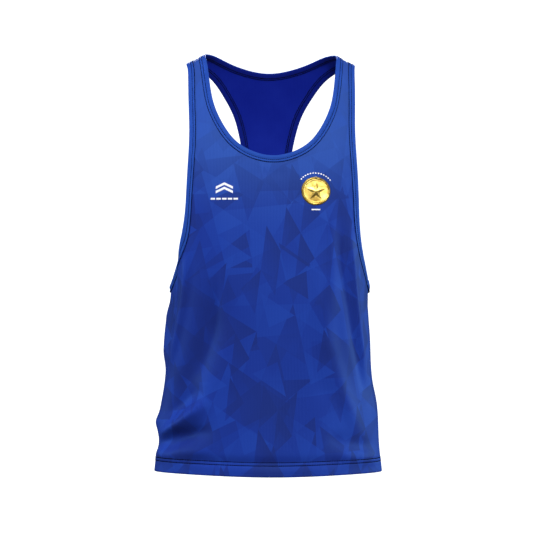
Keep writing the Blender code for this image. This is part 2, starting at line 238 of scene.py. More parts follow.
# %% Fold tables, in millimetres
# around: cloth distance from the front centre round the body, left minus. level: from the
# shoulder line. bow: how far the middle moves sideways. rise: a ridge is plus, a trough minus.
FOLD_COLUMNS = ("around", "level", "to_around", "to_level", "bow", "width", "rise")
MAIN_FOLDS = (
    # front, wearer's right side
    (-148, 360, -215, 611, 22, 9, 6.5),
    (-226, 470, -244, 600, 0, 26, 6.0),
    (-92, 430, -240, 690, 44, 24, -10.0),
    (-100, 636, -236, 714, 6, 13, 8.0),
    (-160, 668, -300, 694, 0, 13, 5.0),
    (-88, 692, -258, 726, -6, 12, -8.0),
    (-92, 722, -250, 738, 0, 11, 5.0),
    # front, wearer's left side
    (86, 345, 194, 735, -45, 15, 6.5),
    (114, 330, 162, 600, -5, 11, -5.5),
    (126, 335, 188, 630, -10, 10, 5.0),
    (92, 700, 200, 718, -2, 12, -4.5),
    (100, 734, 232, 738, 0, 12, 4.0),
    (92, 545, 98, 650, 0, 20, -2.0),
    # back
    (-300, 470, -262, 640, 10, 20, 6.0),
    (-345, 430, -300, 700, -14, 24, -7.0),
    (300, 500, 252, 690, -10, 20, 6.5),
    (350, 420, 318, 640, 12, 22, -6.0),
    (-420, 520, -395, 740, 8, 22, 5.0),
    (408, 560, 430, 740, -8, 22, 4.5),
)
FINE_FOLDS = (
    # front, wearer's right side
    (-140, 300, -212, 608, 7, 5.5, 5.4),
    (-180, 500, -220, 606, 8, 7, -3.5),
    (-200, 470, -232, 520, 4, 6, -1.2),
    (-92, 400, -134, 622, 12, 10, -2.6),
    (-112, 618, -226, 700, -6, 13, -6.5),
    (-120, 648, -236, 716, 4, 7, 2.6),
    (-130, 700, -205, 738, -6, 8, -3.5),
    (-72, 330, -84, 540, 0, 14, 1.6),
    (-30, 480, -66, 680, 6, 30, -1.2),
    # front, wearer's left side
    (88, 270, 106, 540, -3, 13, 4.2),
    (86, 345, 194, 735, -45, 14, -1.6),
    (84, 430, 118, 660, -22, 14, 2.4),
    (100, 700, 198, 716, -2, 11, 2.0),
    (118, 330, 164, 600, -5, 11, 3.0),
    (124, 340, 190, 635, -8, 6, 1.6),
    (146, 520, 182, 640, -6, 8, -1.6),
    (188, 560, 214, 690, -3, 9, 2.0),
    (200, 468, 232, 500, 2, 6, -1.0),
    (52, 420, 70, 640, -5, 28, 1.2),
    (20, 560, 34, 730, 3, 26, -0.9),
    # front, below the neck and on the straps
    (-34, 262, 30, 264, -5, 9, -0.8),
    (-112, 60, -124, 170, 2, 10, -0.6),
    (113, 66, 126, 180, -2, 10, -0.6),
    # back
    (-330, 520, -296, 640, 5, 8, 1.4),
    (322, 540, 290, 660, -5, 8, 1.5),
    (-268, 480, -252, 560, 3, 7, -1.2),
    (272, 500, 258, 580, -3, 7, -1.2),
    (-462, 300, -446, 520, 6, 30, 1.4),
    (452, 340, 470, 560, -5, 28, -1.3),
    (-440, 640, -452, 752, 4, 20, 1.2),
    (380, 600, 366, 740, 5, 16, -1.4),
)
print("folds:", len(MAIN_FOLDS), "main and", len(FINE_FOLDS), "fine")

# %% How the folds move the cloth
FOLD_SAMPLES = 16                    # straight pieces in a bowed fold
FOLD_FADE = 0.3                      # share of a fold's length over which each end fades


def bowed_line(fold):
    """Places along a fold, whose middle is moved sideways by its bow."""
    start = np.array([fold["around"], fold["level"]]) * MM
    end = np.array([fold["to_around"], fold["to_level"]]) * MM
    side = np.array([end[1] - start[1], start[0] - end[0]]) / np.linalg.norm(end - start)
    share = np.linspace(0, 1, FOLD_SAMPLES + 1)[:, None]
    return start + (end - start) * share + side * fold["bow"] * MM * 4 * share * (1 - share)


def fold_height(out, run, table):
    """How far a table's folds push the cloth out, or in where it is negative."""
    level = np.abs(run)
    behind = quarter_girth(level) + quarter_girth(-level) - np.abs(out)
    around = np.where(run >= 0, out, np.where(out < 0, -1, 1) * behind)
    height = np.zeros(len(out))
    for row in table:
        fold = dict(zip(FOLD_COLUMNS, row))
        path = bowed_line(fold)
        nearest = np.full(len(out), np.inf)
        place = np.zeros(len(out))
        for i in range(FOLD_SAMPLES):
            piece = path[i + 1] - path[i]
            away_x, away_y = around - path[i, 0], level - path[i, 1]
            t = np.clip((away_x * piece[0] + away_y * piece[1]) / (piece @ piece), 0, 1)
            distance = np.hypot(away_x - t * piece[0], away_y - t * piece[1])
            closer = distance < nearest
            nearest = np.where(closer, distance, nearest)
            place = np.where(closer, (i + t) / FOLD_SAMPLES, place)
        strength = smoothstep(place / FOLD_FADE) * smoothstep((1 - place) / FOLD_FADE)
        height += fold["rise"] * MM * strength * np.exp(-(nearest / (fold["width"] * MM))**2)
    return height


def outward_at(out, run):
    """The direction straight out of the cloth."""
    along_out, along_run = slopes(out, run)
    outward = np.cross(along_run, along_out)
    return outward / np.linalg.norm(outward, axis=1)[:, None]


def worn(places, lift=0.0):
    """World points of cloth places (out, run), with the creases, raised by lift."""
    out, run = np.asarray(places, float).T
    height = fold_height(out, run, MAIN_FOLDS) + fold_height(out, run, FINE_FOLDS) + lift
    return base_point(out, run) + outward_at(out, run) * height[:, None]


print("front centre, level with the underarm:", worn([(0.0, UNDERARM)])[0].round(4), "m")

# %% [markdown]
# ## The cut edges
# The neck is a deep scoop, and the back is cut away to a narrow racer shape between the shoulder
# blades. A pattern cutter draws such an edge with a few marks and a French curve. A spline
# through a few marks is the same thing. For each place on an edge, one more function gives the
# step that goes straight into the cloth, so that a binding can lie along it at an even width.

# %% Edge tables, in millimetres (out, run)
NECK_EDGE = (
    (0, 237), (32, 230), (60, 210.5), (77, 186), (89, 160), (98, 133), (107, 83), (111.5, 43),
    (111, 0), (94, -28.5), (70, -53), (44, -70), (0, -82),
)
ARMHOLE_EDGE = (
    (216, 449.5), (194, 436), (168, 406), (153, 366), (147, 314), (142, 232), (141.5, 178),
    (144.5, 124), (147, 74), (148, 33), (149, 0), (131, -37), (100, -75.5), (76, -116.5),
    (59, -154), (49.5, -188.5), (43, -225), (41, -257), (47, -295), (66, -335), (100, -377),
    (150, -418), (196, -445),
)
EDGE_STEP = 2.6 * MM
MIRRORED = 3                         # rows carried past a centre line, to keep the curve smooth
NECK_HOLE = (0.0, 60 * MM)           # a place inside each opening
ARMHOLE_HOLE = (400 * MM, 0.0)
print("marks on the neck's edge:", len(NECK_EDGE), "and on an armhole's:", len(ARMHOLE_EDGE))


# %% From the marks to even edges, and the way into the cloth
def distance_along(points):
    """How far each point of a line is from its first, measured along the line."""
    steps = np.linalg.norm(np.diff(points, axis=0), axis=1)
    return np.concatenate([[0], np.cumsum(steps)])


def sampled(rows, first, last):
    """Evenly spaced places on a smooth curve through the rows, from row first to row last."""
    rows = np.asarray(rows, float)
    length = distance_along(rows)
    count = round((length[last] - length[first]) / EDGE_STEP) + 1
    at = np.linspace(length[first], length[last], count)
    return np.stack([natural_spline(length, column)(at) for column in rows.T], axis=1)


def neck_edge():
    """The right half of the neck edge, front centre to back centre."""
    rows = [(out * MM, run * MM) for out, run in NECK_EDGE]
    before = [(-out, run) for out, run in rows[MIRRORED:0:-1]]
    after = [(-out, run) for out, run in rows[-2:-2 - MIRRORED:-1]]
    return sampled(before + rows + after, MIRRORED, MIRRORED + len(rows) - 1)


def armhole_edge():
    """The right armhole edge, from the underarm up the front and down the back to it."""
    rows = [(out * MM, run * MM) for out, run in ARMHOLE_EDGE]
    front = quarter_girth(UNDERARM)
    back = quarter_girth(-UNDERARM)
    before = [(2 * front - rows[0][0], rows[0][1]), (front, UNDERARM)]
    after = [(back, -UNDERARM), (2 * back - rows[-1][0], rows[-1][1])]
    return sampled(before + rows + after, 1, 2 + len(rows))


def into_cloth(edge, hole):
    """For each place on an edge, the step in (out, run) that goes one metre into the cloth."""
    along_out, along_run = slopes(*edge.T)
    ahead = np.gradient(edge, axis=0)
    ahead[0, 1] = ahead[-1, 1] = 0
    tangent = along_out * ahead[:, :1] + along_run * ahead[:, 1:]
    normal = np.cross(along_run, along_out)
    square_on = np.cross(normal, tangent)
    square_on /= np.linalg.norm(square_on, axis=1)[:, None]
    steps = []
    for a, b, direction in zip(along_out, along_run, square_on):
        metric = np.array([[a @ a, a @ b], [a @ b, b @ b]])
        steps.append(np.linalg.solve(metric, [a @ direction, b @ direction]))
    steps = np.array(steps)
    away = np.sum(steps * (edge - np.array(hole)), axis=1)
    return steps * np.sign(np.median(away))


def line_length(places):
    """The length of a line of cloth places, in the world."""
    points = base_point(*places.T)
    return float(np.linalg.norm(np.diff(points, axis=0), axis=1).sum())


half_neck = neck_edge()
armhole = armhole_edge()
half_neck_in = into_cloth(half_neck, NECK_HOLE)
armhole_in = into_cloth(armhole, ARMHOLE_HOLE)
neck_round = 2 * line_length(half_neck)
armhole_round = line_length(armhole)
print("neck edge:", round(neck_round, 3), "m; each armhole:", round(armhole_round, 3), "m")

# %% [markdown]
# ## Sewing shapes the cloth
# Stitches pull knit down into shallow grooves, and the band between two rows puffs up. The turned
# hem is two layers, so it stands a little proud. A bump texture could fake this, but the outline
# and the shadows of a hem come from its real thickness. So a function gives the small rise or dip
# of the cloth at every place, and the net of points is close enough there to carry it.

# %% The relief that sewing gives, and how thick the cloth is
CLOTH = 0.9 * MM
TURN_UP = HEM_DEPTH + 3 * MM         # the cloth is double up to this height
TURN_UP_EDGE = 2 * MM                # and thins over this
HEM_ROWS = (24 * MM, 18.6 * MM)      # the two rows of stitches, above the hem's edge
STITCH_GROOVE = 0.75 * MM
GROOVE_WIDTH = 1.1 * MM
HEM_PUFF = 0.5 * MM                  # the double cloth stands proud by this
PUFF_EDGE = 4 * MM
HEM_CINCH = 3.2 * MM                 # the stitches draw the cloth in, in a soft dip above the hem
CINCH_AT = 23 * MM
CINCH_WIDTH = 8 * MM
CINCH_STARTS = 60 * MM               # it starts this far from the side seams
CINCH_FADE = 80 * MM                 # and is whole this much farther on
SEAM_DIP = 0.6 * MM
SEAM_WIDTH = 2.2 * MM
SIDE_SEAM_TOP = UNDERARM - 10 * MM
SEAM_CLEAR = 1.0 * MM                # rows of stitches stop this far from a seam
HEM_ROLL = 1.3 * MM                  # the fold at the hem's edge is rounded over this height
ROLL_SHARE = 0.8                     # and takes up this share of the thickness
RIPPLE = 0.16 * MM                   # puckers along a row of stitches
RIPPLE_LENGTHS = (11 * MM, 17 * MM, 29 * MM)
STRIP_RIPPLE = 0.7 * RIPPLE          # a binding's puckers
HEM_RIPPLE = 2.2 * RIPPLE            # the hem's
HEM_RIPPLE_REACH = 7 * MM


def ripple(along):
    """A slow uneven wave along a row of stitches, from -1 to 1."""
    waves = []
    for number, length in enumerate(RIPPLE_LENGTHS):
        waves.append(np.sin(2 * np.pi * along / length + 1.7 * number))
    return sum(waves) / len(waves)


def sewing_relief(places):
    """How far sewing raises the cloth at each place, or pulls it in."""
    out, run = places.T
    level = np.abs(run)
    up = LENGTH - level
    to_side = quarter_girth(run) - np.abs(out)
    relief = HEM_PUFF * smoothstep((HEM_DEPTH + PUFF_EDGE / 2 - up) / PUFF_EDGE)
    near_rows = np.exp(-((up - HEM_ROWS[0]) / HEM_RIPPLE_REACH)**2)
    relief += HEM_RIPPLE * ripple(out + 0.3 * run) * near_rows
    away_from_side = smoothstep((to_side - CINCH_STARTS) / CINCH_FADE)
    relief -= HEM_CINCH * away_from_side * np.exp(-((up - CINCH_AT) / CINCH_WIDTH)**2)
    for row in HEM_ROWS:
        relief -= STITCH_GROOVE * np.exp(-((up - row) / GROOVE_WIDTH)**2)
    relief -= SEAM_DIP * np.exp(-(to_side / SEAM_WIDTH)**2) * (level > SIDE_SEAM_TOP)
    relief -= SEAM_DIP * np.exp(-(level / SEAM_WIDTH)**2)
    return relief


def skins(places):
    """How far the outer and the inner skin lie above the surface."""
    up = LENGTH - np.abs(places[:, 1])
    thick = CLOTH * (1 + smoothstep((TURN_UP - up) / TURN_UP_EDGE))
    outer = sewing_relief(places)
    inner = np.minimum(outer, 0) - thick
    rolled = ROLL_SHARE * (1 - smoothstep(up / HEM_ROLL))
    middle = (outer + inner) / 2
    return outer + (middle - outer) * rolled, inner + (middle - inner) * rolled


print("cloth:", round(CLOTH / MM, 2), "mm thick, and double for", round(TURN_UP / MM), "mm at the hem")

# %% [markdown]
# ## Cutting a panel
# A panel's outline is an edge of the neck, the shoulder, an armhole, the side seam and the hem.
# It is filled with rows of points in a staggered net, and a Delaunay triangulation joins them.
# Boolean cuts from a full tube would leave ragged edges, while this net follows every edge. The
# cloth goes a little way under each binding, as it does when the strip is folded round it.

# %% The outline of a panel
COLUMN_STEP = 3.1 * MM
ROW_STEP = 2.8 * MM
HEM_ROW_STEP = 1.0 * MM
HEM_ROW_COUNT = 29                   # close rows over the stitching
TUCK = 9.4 * MM                      # the cloth's raw edge, from the outside of its binding
MIRROR = np.array([-1, 1])           # (out, run) on the other half


def up_to_shoulder(line, front):
    """The part of a line on one panel, cut where it meets the shoulder seam at run 0."""
    run = line[:, 1] if front else -line[:, 1]
    starts_here = run[0] > 0
    after = int(np.argmax((run > 0) != starts_here))
    share = run[after - 1] / (run[after - 1] - run[after])
    crossing = line[after - 1] + share * (line[after] - line[after - 1])
    keep = line[run > 0]
    return np.vstack([keep, crossing] if starts_here else [crossing, keep])


def with_mirror(half):
    """A half line followed by its mirror image, with each place on the centre line once."""
    return np.vstack([half, half[::-1][1:-1] * MIRROR])


def between(start, end, step):
    """Places on a straight line, both ends among them."""
    count = max(2, round(float(np.linalg.norm(end - start)) / step) + 1)
    return start + (end - start) * np.linspace(0, 1, count)[:, None]


def row_levels():
    """Rows from the hem up: close together over the stitching, wider above it."""
    close = np.arange(1, HEM_ROW_COUNT + 1) * HEM_ROW_STEP
    wide = np.arange(close[-1] + ROW_STEP, LENGTH - 0.5 * ROW_STEP, ROW_STEP)
    return LENGTH - np.concatenate([close, wide])


def panel_outline(front):
    """The outline of a panel, right half first and then its mirror image."""
    side = 1 if front else -1
    neck = up_to_shoulder(half_neck + half_neck_in * TUCK, front)
    arm = up_to_shoulder(armhole + armhole_in * TUCK, front)
    if front:
        arm = arm[::-1]
    else:
        neck = neck[::-1]
    arm[-1, 0] = quarter_girth(arm[-1, 1])
    shoulder = between(neck[-1], arm[0], EDGE_STEP)[1:-1]
    down = row_levels()[::-1]
    down = np.append(down[down > abs(arm[-1, 1]) + 1 * MM], LENGTH) * side
    seam = np.stack([quarter_girth(down), down], axis=1)
    hem = between(seam[-1], np.array([0, side * LENGTH]), COLUMN_STEP)[1:]
    return with_mirror(np.vstack([neck, shoulder, arm, seam, hem]))


print("places on the front's outline:", len(panel_outline(True)))

# %% The net inside an outline
PANEL_MARGIN = 0.7 * MM              # the rows keep this clear of the outline
OUTLINE_SHARES = 4                   # that margin is measured from this many places a step
INSIDE_ONLY = 1                      # which triangles the triangulation keeps
SAME_PLACE = 1e-7                    # in metres


def row_spans(outline, run):
    """Where a row enters and leaves the outline."""
    ahead = np.roll(outline, -1, axis=0)
    crosses = (outline[:, 1] > run) != (ahead[:, 1] > run)
    a, b = outline[crosses], ahead[crosses]
    share = (run - a[:, 1]) / (b[:, 1] - a[:, 1])
    return np.sort(a[:, 0] + share * (b[:, 0] - a[:, 0])).reshape(-1, 2)


def net(outline, levels, column_step, margin):
    """Places and triangles over an outline: its own places, and staggered rows inside it."""
    near = KDTree(OUTLINE_SHARES * len(outline))
    for part in range(OUTLINE_SHARES):
        moved = outline + (np.roll(outline, -1, axis=0) - outline) * part / OUTLINE_SHARES
        for place in moved:
            near.insert((*place, 0), 0)
    near.balance()
    filling = []
    for row, run in enumerate(levels):
        for start, end in row_spans(outline, run):
            first = math.ceil(start / column_step)
            for column in range(first - 1, math.ceil(end / column_step) + 1):
                out = (column + 0.5 * (row % 2)) * column_step
                if start < out < end and near.find((out, run, 0))[2] > margin:
                    filling.append((out, run))
    points = np.vstack([outline, np.array(filling).reshape(-1, 2)])
    corners = [tuple(point) for point in points]
    border = [list(range(len(outline)))]
    kept, _, faces, *_ = delaunay_2d_cdt(corners, [], border, INSIDE_ONLY, SAME_PLACE)
    return np.array([tuple(point) for point in kept]), [tuple(face) for face in faces]


print("rows of points in a panel:", len(row_levels()))

# %% [markdown]
# ## A thin closed shell
# Real cloth has two faces and a thickness, and this one is printed on one face only. A Solidify
# modifier could add the thickness, but it makes slips at seams where two panels meet. So each
# piece is built as an outer skin, an inner skin and a narrow rim, and the inner skin gets the
# plain material of the cloth's wrong side. The cloth coordinates are kept as the UV map, in
# metres, so every pattern in the materials can be given in real sizes.


# %% Building a shell from two skins
HEART_LEVEL = -100 * MM              # the middle of the hollow is nowhere higher than this
HEART_FALL = 0.25                    # and lies lower than a face by this share of its depth


def outward_faces(points, faces):
    """The faces, each turned so that its normal points away from the vest's hollow."""
    corners = points[np.array(faces)]
    normal = np.cross(corners[:, 1] - corners[:, 0], corners[:, 2] - corners[:, 0])
    middle = corners.mean(axis=1)
    heart = np.zeros_like(middle)
    heart[:, 2] = np.minimum(middle[:, 2] - HEART_FALL * np.abs(middle[:, 1]), HEART_LEVEL)
    outward = np.sum(normal * (middle - heart), axis=1) > 0
    return [face if right else face[::-1] for face, right in zip(faces, outward)]


def new_object(name, points, faces, uvs, looks, look_of_face=None, sharp=50):
    """An object with its points, faces, a UV map in metres and its materials."""
    mesh = bpy.data.meshes.new(name)
    mesh.from_pydata([tuple(p) for p in points], [], faces)
    layer = mesh.uv_layers.new(name="cloth")
    corner = np.zeros(len(mesh.loops), int)
    mesh.loops.foreach_get("vertex_index", corner)
    layer.data.foreach_set("uv", np.asarray(uvs, float)[corner].ravel())
    for look in looks:
        mesh.materials.append(look)
    if look_of_face is not None:
        mesh.polygons.foreach_set("material_index", look_of_face)
    mesh.shade_smooth()
    mesh.set_sharp_from_angle(angle=math.radians(sharp))
    piece = bpy.data.objects.new(name, mesh)
    bpy.context.scene.collection.objects.link(piece)
    return piece


def add_shell(name, places, faces, outer_lift, inner_lift, looks):
    """A closed shell over a net: looks are the outer material and the inner one."""
    outer, inner = worn(places, outer_lift), worn(places, inner_lift)
    count = len(places)
    faces = outward_faces(outer, faces)
    used = {(face[i - 1], face[i]) for face in faces for i in range(len(face))}
    rim = [(b, a, a + count, b + count) for a, b in sorted(used) if (b, a) not in used]
    lining = [tuple(i + count for i in face[::-1]) for face in faces]
    look_of_face = [0] * len(faces) + [min(1, len(looks) - 1)] * len(lining) + [0] * len(rim)
    points = np.vstack([outer, inner])
    uvs = np.vstack([places, places])
    return new_object(name, points, faces + lining + rim, uvs, looks, look_of_face)


# %% [markdown]
# ## What every material starts from
# Every finish here is a small graph of nodes. It could be wired by hand in the shader editor, but
# then nobody could read it. One function adds a node with its settings and its links, one turns
# the colours, which are written as on a screen, into the linear values that a shader wants, and
# one tints a surface between two shades. That keeps each material as short as a recipe.


# %% Helpers for materials
def linear(hex_colour):
    """An sRGB colour such as "#2243A0" as linear RGBA."""
    parts = [int(hex_colour[i:i + 2], 16) / 255 for i in (1, 3, 5)]
    return (*[c / 12.92 if c <= 0.04045 else ((c + 0.055) / 1.055) ** 2.4 for c in parts], 1.0)


def add(tree, kind, inputs=(), **settings):
    """Adds a node. Inputs are by name or place: a socket is linked, anything else is a value."""
    made = tree.nodes.new("ShaderNode" + kind)
    for name, value in settings.items():
        setattr(made, name, value)
    for socket, value in dict(inputs).items():
        if isinstance(value, bpy.types.NodeSocket):
            tree.links.new(value, made.inputs[socket])
        else:
            made.inputs[socket].default_value = value
    return made


def new_finish(name, **values):
    """A material with its Principled shader's own values set, such as Roughness=0.6."""
    look = bpy.data.materials.new(name)
    look.use_nodes = True
    shader = look.node_tree.nodes["Principled BSDF"]
    for socket, value in values.items():
        shader.inputs[socket.replace("_", " ")].default_value = value
    return look, look.node_tree, shader


def tint(tree, shader, pattern, deep, pale, start=0.0, end=1.0):
    """Colours a surface from deep to pale, as the pattern goes from start to end."""
    ramp = add(tree, "ValToRGB", {0: pattern})
    stops = ramp.color_ramp.elements
    stops[0].position, stops[0].color = start, deep
    stops[1].position, stops[1].color = end, pale
    tree.links.new(ramp.outputs[0], shader.inputs["Base Color"])


print("mid grey of a screen, in linear light:", round(linear("#808080")[0], 3))

# %% [markdown]
# ## The knit
# The cloth is a polyester interlock: smooth, closed and slightly lustrous, with fine upright
# ribs of V-shaped loops. The loops of a real one are about 0.8 mm wide, which is half a pixel
# here and would flicker, so the ribs are drawn 2.4 mm apart. Loops could be modelled one by one,
# but there are more than a hundred thousand, so they are a bump made from two sine waves.

# %% The bump of the knit
WALE = 2.4 * MM              # one rib, coarsened from 0.8 mm so that it shows
COURSE = 2.0 * MM            # one row of loops, coarsened from 0.6 mm
LOOP_SHARE = 0.3             # height of the loops beside that of the ribs
KNIT_DEPTH = 0.25 * MM


def knit_bump(tree, shader, strength):
    """Upright columns of V-shaped loops, as a bump on the shader."""
    cloth = add(tree, "UVMap", uv_map="cloth").outputs[0]
    split = add(tree, "SeparateXYZ", {0: cloth}).outputs
    wale = add(tree, "Math", {0: split[0], 1: 1 / WALE}, operation="MULTIPLY").outputs[0]
    course = add(tree, "Math", {0: split[1], 1: 1 / COURSE}, operation="MULTIPLY").outputs[0]
    slant = add(tree, "Math", {0: wale, 1: 0.5}, operation="PINGPONG").outputs[0]
    loops = add(tree, "Math", {0: course, 1: slant}, operation="ADD").outputs[0]
    loop_wave = add(tree, "Math", {0: loops, 1: 2 * math.pi}, operation="MULTIPLY").outputs[0]
    loop_wave = add(tree, "Math", {0: loop_wave}, operation="SINE").outputs[0]
    rib_wave = add(tree, "Math", {0: wale, 1: math.pi}, operation="MULTIPLY").outputs[0]
    rib_wave = add(tree, "Math", {0: rib_wave}, operation="SINE").outputs[0]
    rib_wave = add(tree, "Math", {0: rib_wave}, operation="ABSOLUTE").outputs[0]
    inputs = {0: loop_wave, 1: LOOP_SHARE, 2: rib_wave}
    height = add(tree, "Math", inputs, operation="MULTIPLY_ADD").outputs[0]
    bump = add(tree, "Bump", {"Height": height, "Strength": strength, "Distance": KNIT_DEPTH})
    tree.links.new(bump.outputs[0], shader.inputs["Normal"])
    return cloth, rib_wave


print("ribs over 0.1 m of cloth:", round(0.1 / WALE))

# %% [markdown]
# ## The print
# The front and back carry a tone-on-tone print of overlapping sharp shards. This one is a generic
# pattern of such shards and copies no real layout. A painted picture would do, but a formula
# stays sharp at any distance: each layer is a slanted grid, every cell is cut into two triangles,
# and a random number decides which triangles are inked. Seven layers of different slant and size,
# some darker and some lighter, overlap like torn paper.

# %% The layers of the print
PRINT_COLUMNS = ("turn", "wide", "tall", "share", "tone")    # degrees, mm, mm, part inked, ink
PRINT_LAYERS = (
    (17, 132, 88, 0.50, 0.20),
    (-41, 96, 150, 0.40, 0.78),
    (3, 88, 62, 0.36, 0.10),
    (-24, 70, 96, 0.32, 0.70),
    (62, 58, 74, 0.34, 0.16),
    (-71, 44, 60, 0.22, 0.86),
    (36, 40, 52, 0.20, 0.04),
)
PRINT_DARK = linear("#1A297A")
PRINT_MIDDLE = linear("#193090")
PRINT_LIGHT = linear("#1D3CA0")
# painted light: the straps and the top of the chest, front and back, are coloured a lighter blue, as
# the light from above falls on them
TOP_PAINTED_LIGHT = linear("#3356A8")
CHEST_MIX = 0.56                     # how far the straps and the top of the chest go towards that painted light
CHEST_FADES = (0.15, 0.33)           # run over which that fades, in metres
CHEST_RAGGED = -0.07                 # the print moves the fade by this, so that it isn't straight
LAYER_SHIFT = (0.37, 0.61)           # in cells, so that no two grids start at one place
INK_START, INK_RISE = 0.35, 0.5      # the ink thickens across each cell
PRINT_SEED = 11
print("layers of the print:", len(PRINT_LAYERS))


# %% A layer of shards, and the printed cloth
PAINTED_GROOVE_SHADE, PAINTED_RIB_LIGHT = 0.93, 0.10        # painted shade between two ribs, and the painted light that a rib's top adds to it
POLYESTER = {
    "IOR": 1.5, "Specular_Tint": linear("#87C7FF"), "Sheen_Roughness": 0.4,
    "Sheen_Tint": linear("#6F9CFF"),
}


def shard_layer(tree, cloth, number, row, below):
    """The ink below, covered in places by one more layer of triangles."""
    layer = dict(zip(PRINT_COLUMNS, row))
    scale = (1 / (layer["wide"] * MM), 1 / (layer["tall"] * MM), 1)
    turn = (0, 0, math.radians(layer["turn"]))
    shift = (LAYER_SHIFT[0] * number, LAYER_SHIFT[1] * number, 0)
    inputs = {"Vector": cloth, "Location": shift, "Rotation": turn, "Scale": scale}
    grid = add(tree, "Mapping", inputs).outputs[0]
    cell = add(tree, "VectorMath", {0: grid}, operation="FLOOR").outputs[0]
    within = add(tree, "VectorMath", {0: grid}, operation="FRACTION").outputs[0]
    corner = add(tree, "SeparateXYZ", {0: within}).outputs
    diagonal = add(tree, "Math", {0: corner[0], 1: corner[1]}, operation="ADD").outputs[0]
    half = add(tree, "Math", {0: diagonal, 1: 1.0}, operation="GREATER_THAN").outputs[0]
    inputs = {0: half, 1: 0.5, 2: PRINT_SEED + number}
    seed = add(tree, "Math", inputs, operation="MULTIPLY_ADD").outputs[0]
    key = add(tree, "CombineXYZ", {2: seed}).outputs[0]
    key = add(tree, "VectorMath", {0: cell, 1: key}, operation="ADD").outputs[0]
    chance = add(tree, "TexWhiteNoise", {"Vector": key}, noise_dimensions="3D").outputs
    inputs = {0: chance["Value"], 1: layer["share"]}
    inked = add(tree, "Math", inputs, operation="LESS_THAN").outputs[0]
    inputs = {0: corner[0], 1: INK_RISE, 2: INK_START}
    fade = add(tree, "Math", inputs, operation="MULTIPLY_ADD").outputs[0]
    cover = add(tree, "Math", {0: inked, 1: fade}, operation="MULTIPLY").outputs[0]
    return add(tree, "Mix", {0: cover, 2: below, 3: layer["tone"]}).outputs[0]


def printed_interlock():
    """Knit dyed through by heat: no film on top, so a soft lustre and clear, flat colours."""
    look, tree, shader = new_finish(
        "polyester_interlock_printed", Roughness=0.62, Specular_IOR_Level=0.32,
        Sheen_Weight=0.03, **POLYESTER)
    cloth, rib_wave = knit_bump(tree, shader, 0.35)
    total = 0.5
    for number, row in enumerate(PRINT_LAYERS):
        total = shard_layer(tree, cloth, number, row, total)
    ramp = add(tree, "ValToRGB", {0: total})
    stops = ramp.color_ramp.elements
    stops[0].position, stops[0].color = 0.12, PRINT_DARK
    stops[1].position, stops[1].color = 0.88, PRINT_LIGHT
    middle = stops.new(0.5)
    middle.color = PRINT_MIDDLE
    # painted light from above, mixed into the print near the shoulder line
    run = add(tree, "SeparateXYZ", {0: cloth}).outputs[1]
    run = add(tree, "Math", {0: run}, operation="ABSOLUTE").outputs[0]
    inputs = {0: total, 1: CHEST_RAGGED, 2: run}
    ragged = add(tree, "Math", inputs, operation="MULTIPLY_ADD").outputs[0]
    inputs = dict(zip(("From Min", "From Max", "To Min", "To Max"), (*CHEST_FADES, CHEST_MIX, 0.0)))
    inputs["Value"] = ragged
    chest = add(tree, "MapRange", inputs, interpolation_type="SMOOTHSTEP").outputs[0]
    inputs = {0: chest, 6: ramp.outputs[0], 7: TOP_PAINTED_LIGHT}
    inked = add(tree, "Mix", inputs, data_type="RGBA").outputs[2]
    # painted shade: the colour is darker between the ribs, where shade falls in the grooves
    inputs = {0: rib_wave, 1: PAINTED_RIB_LIGHT, 2: PAINTED_GROOVE_SHADE}
    painted_rib_shade = add(tree, "Math", inputs, operation="MULTIPLY_ADD").outputs[0]
    final = add(tree, "VectorMath", {0: inked, 3: painted_rib_shade}, operation="SCALE").outputs[0]
    tree.links.new(final, shader.inputs["Base Color"])
    return look


PRINTED = printed_interlock()
print("nodes in the print:", len(PRINTED.node_tree.nodes))

# %% [markdown]
# ## The wrong side of the cloth, and the binding strips
# Inside, the knit is the plain ground blue with no print, coloured darker than the cloth is, as
# painted shade for the inside of the hollow. The bindings are strips of the same knit, a shade
# lighter, folded round the raw edge; their faces inside the vest get a darker copy of the colour,
# which is painted shade. One recipe with other colours serves all three. They share the knit's
# bump with painted shade between its ribs, and get a faint cloudiness, because dyed polyester is
# never one flat colour.


# %% Plain cloth
def plain_interlock(name, deep, pale, bump, cloud_size):
    """The same knit without the print: painted shade between its ribs, and the uneven dye."""
    look, tree, shader = new_finish(
        name, Roughness=0.55, Specular_IOR_Level=0.2, Sheen_Weight=0.02, **POLYESTER)
    cloth, rib_wave = knit_bump(tree, shader, bump)
    inputs = {"Vector": cloth, "Scale": 1 / cloud_size, "Detail": 3.0, "Roughness": 0.55}
    cloud = add(tree, "TexNoise", inputs).outputs[0]
    # painted shade between the ribs, laid over the real cloudiness of the dye
    shade = add(tree, "Math", {0: rib_wave, 1: 0.25, 2: cloud}, operation="MULTIPLY_ADD").outputs[0]
    tint(tree, shader, shade, linear(deep), linear(pale), 0.35, 0.95)
    return look


# painted shade: the plain wrong side, coloured darker than the cloth is, for the shade inside the
# hollow
WRONG_SIDE_IN_PAINTED_SHADE = plain_interlock("polyester_interlock_wrong_side_in_painted_shade", "#0D1A86", "#142494", 0.25, 60 * MM)
STRIP = plain_interlock("polyester_interlock_strip", "#1E3F98", "#264AA6", 0.3, 45 * MM)
# painted shade: a darker copy of the strip's colour, for its faces inside the vest
STRIP_IN_PAINTED_SHADE = plain_interlock("polyester_interlock_strip_in_painted_shade", "#0A1470", "#0F1B7C", 0.3, 45 * MM)
print("plain cloths:", [look.name for look in (WRONG_SIDE_IN_PAINTED_SHADE, STRIP, STRIP_IN_PAINTED_SHADE)])

# %% [markdown]
# ## The two panels
# The front is one piece from hem to shoulders, with both front straps, and so is the racer back.
# Each could be drawn by hand, but they differ only in the side of the shoulder line that they are
# on. So one function makes both, and they meet exactly at the shoulder and side seams.


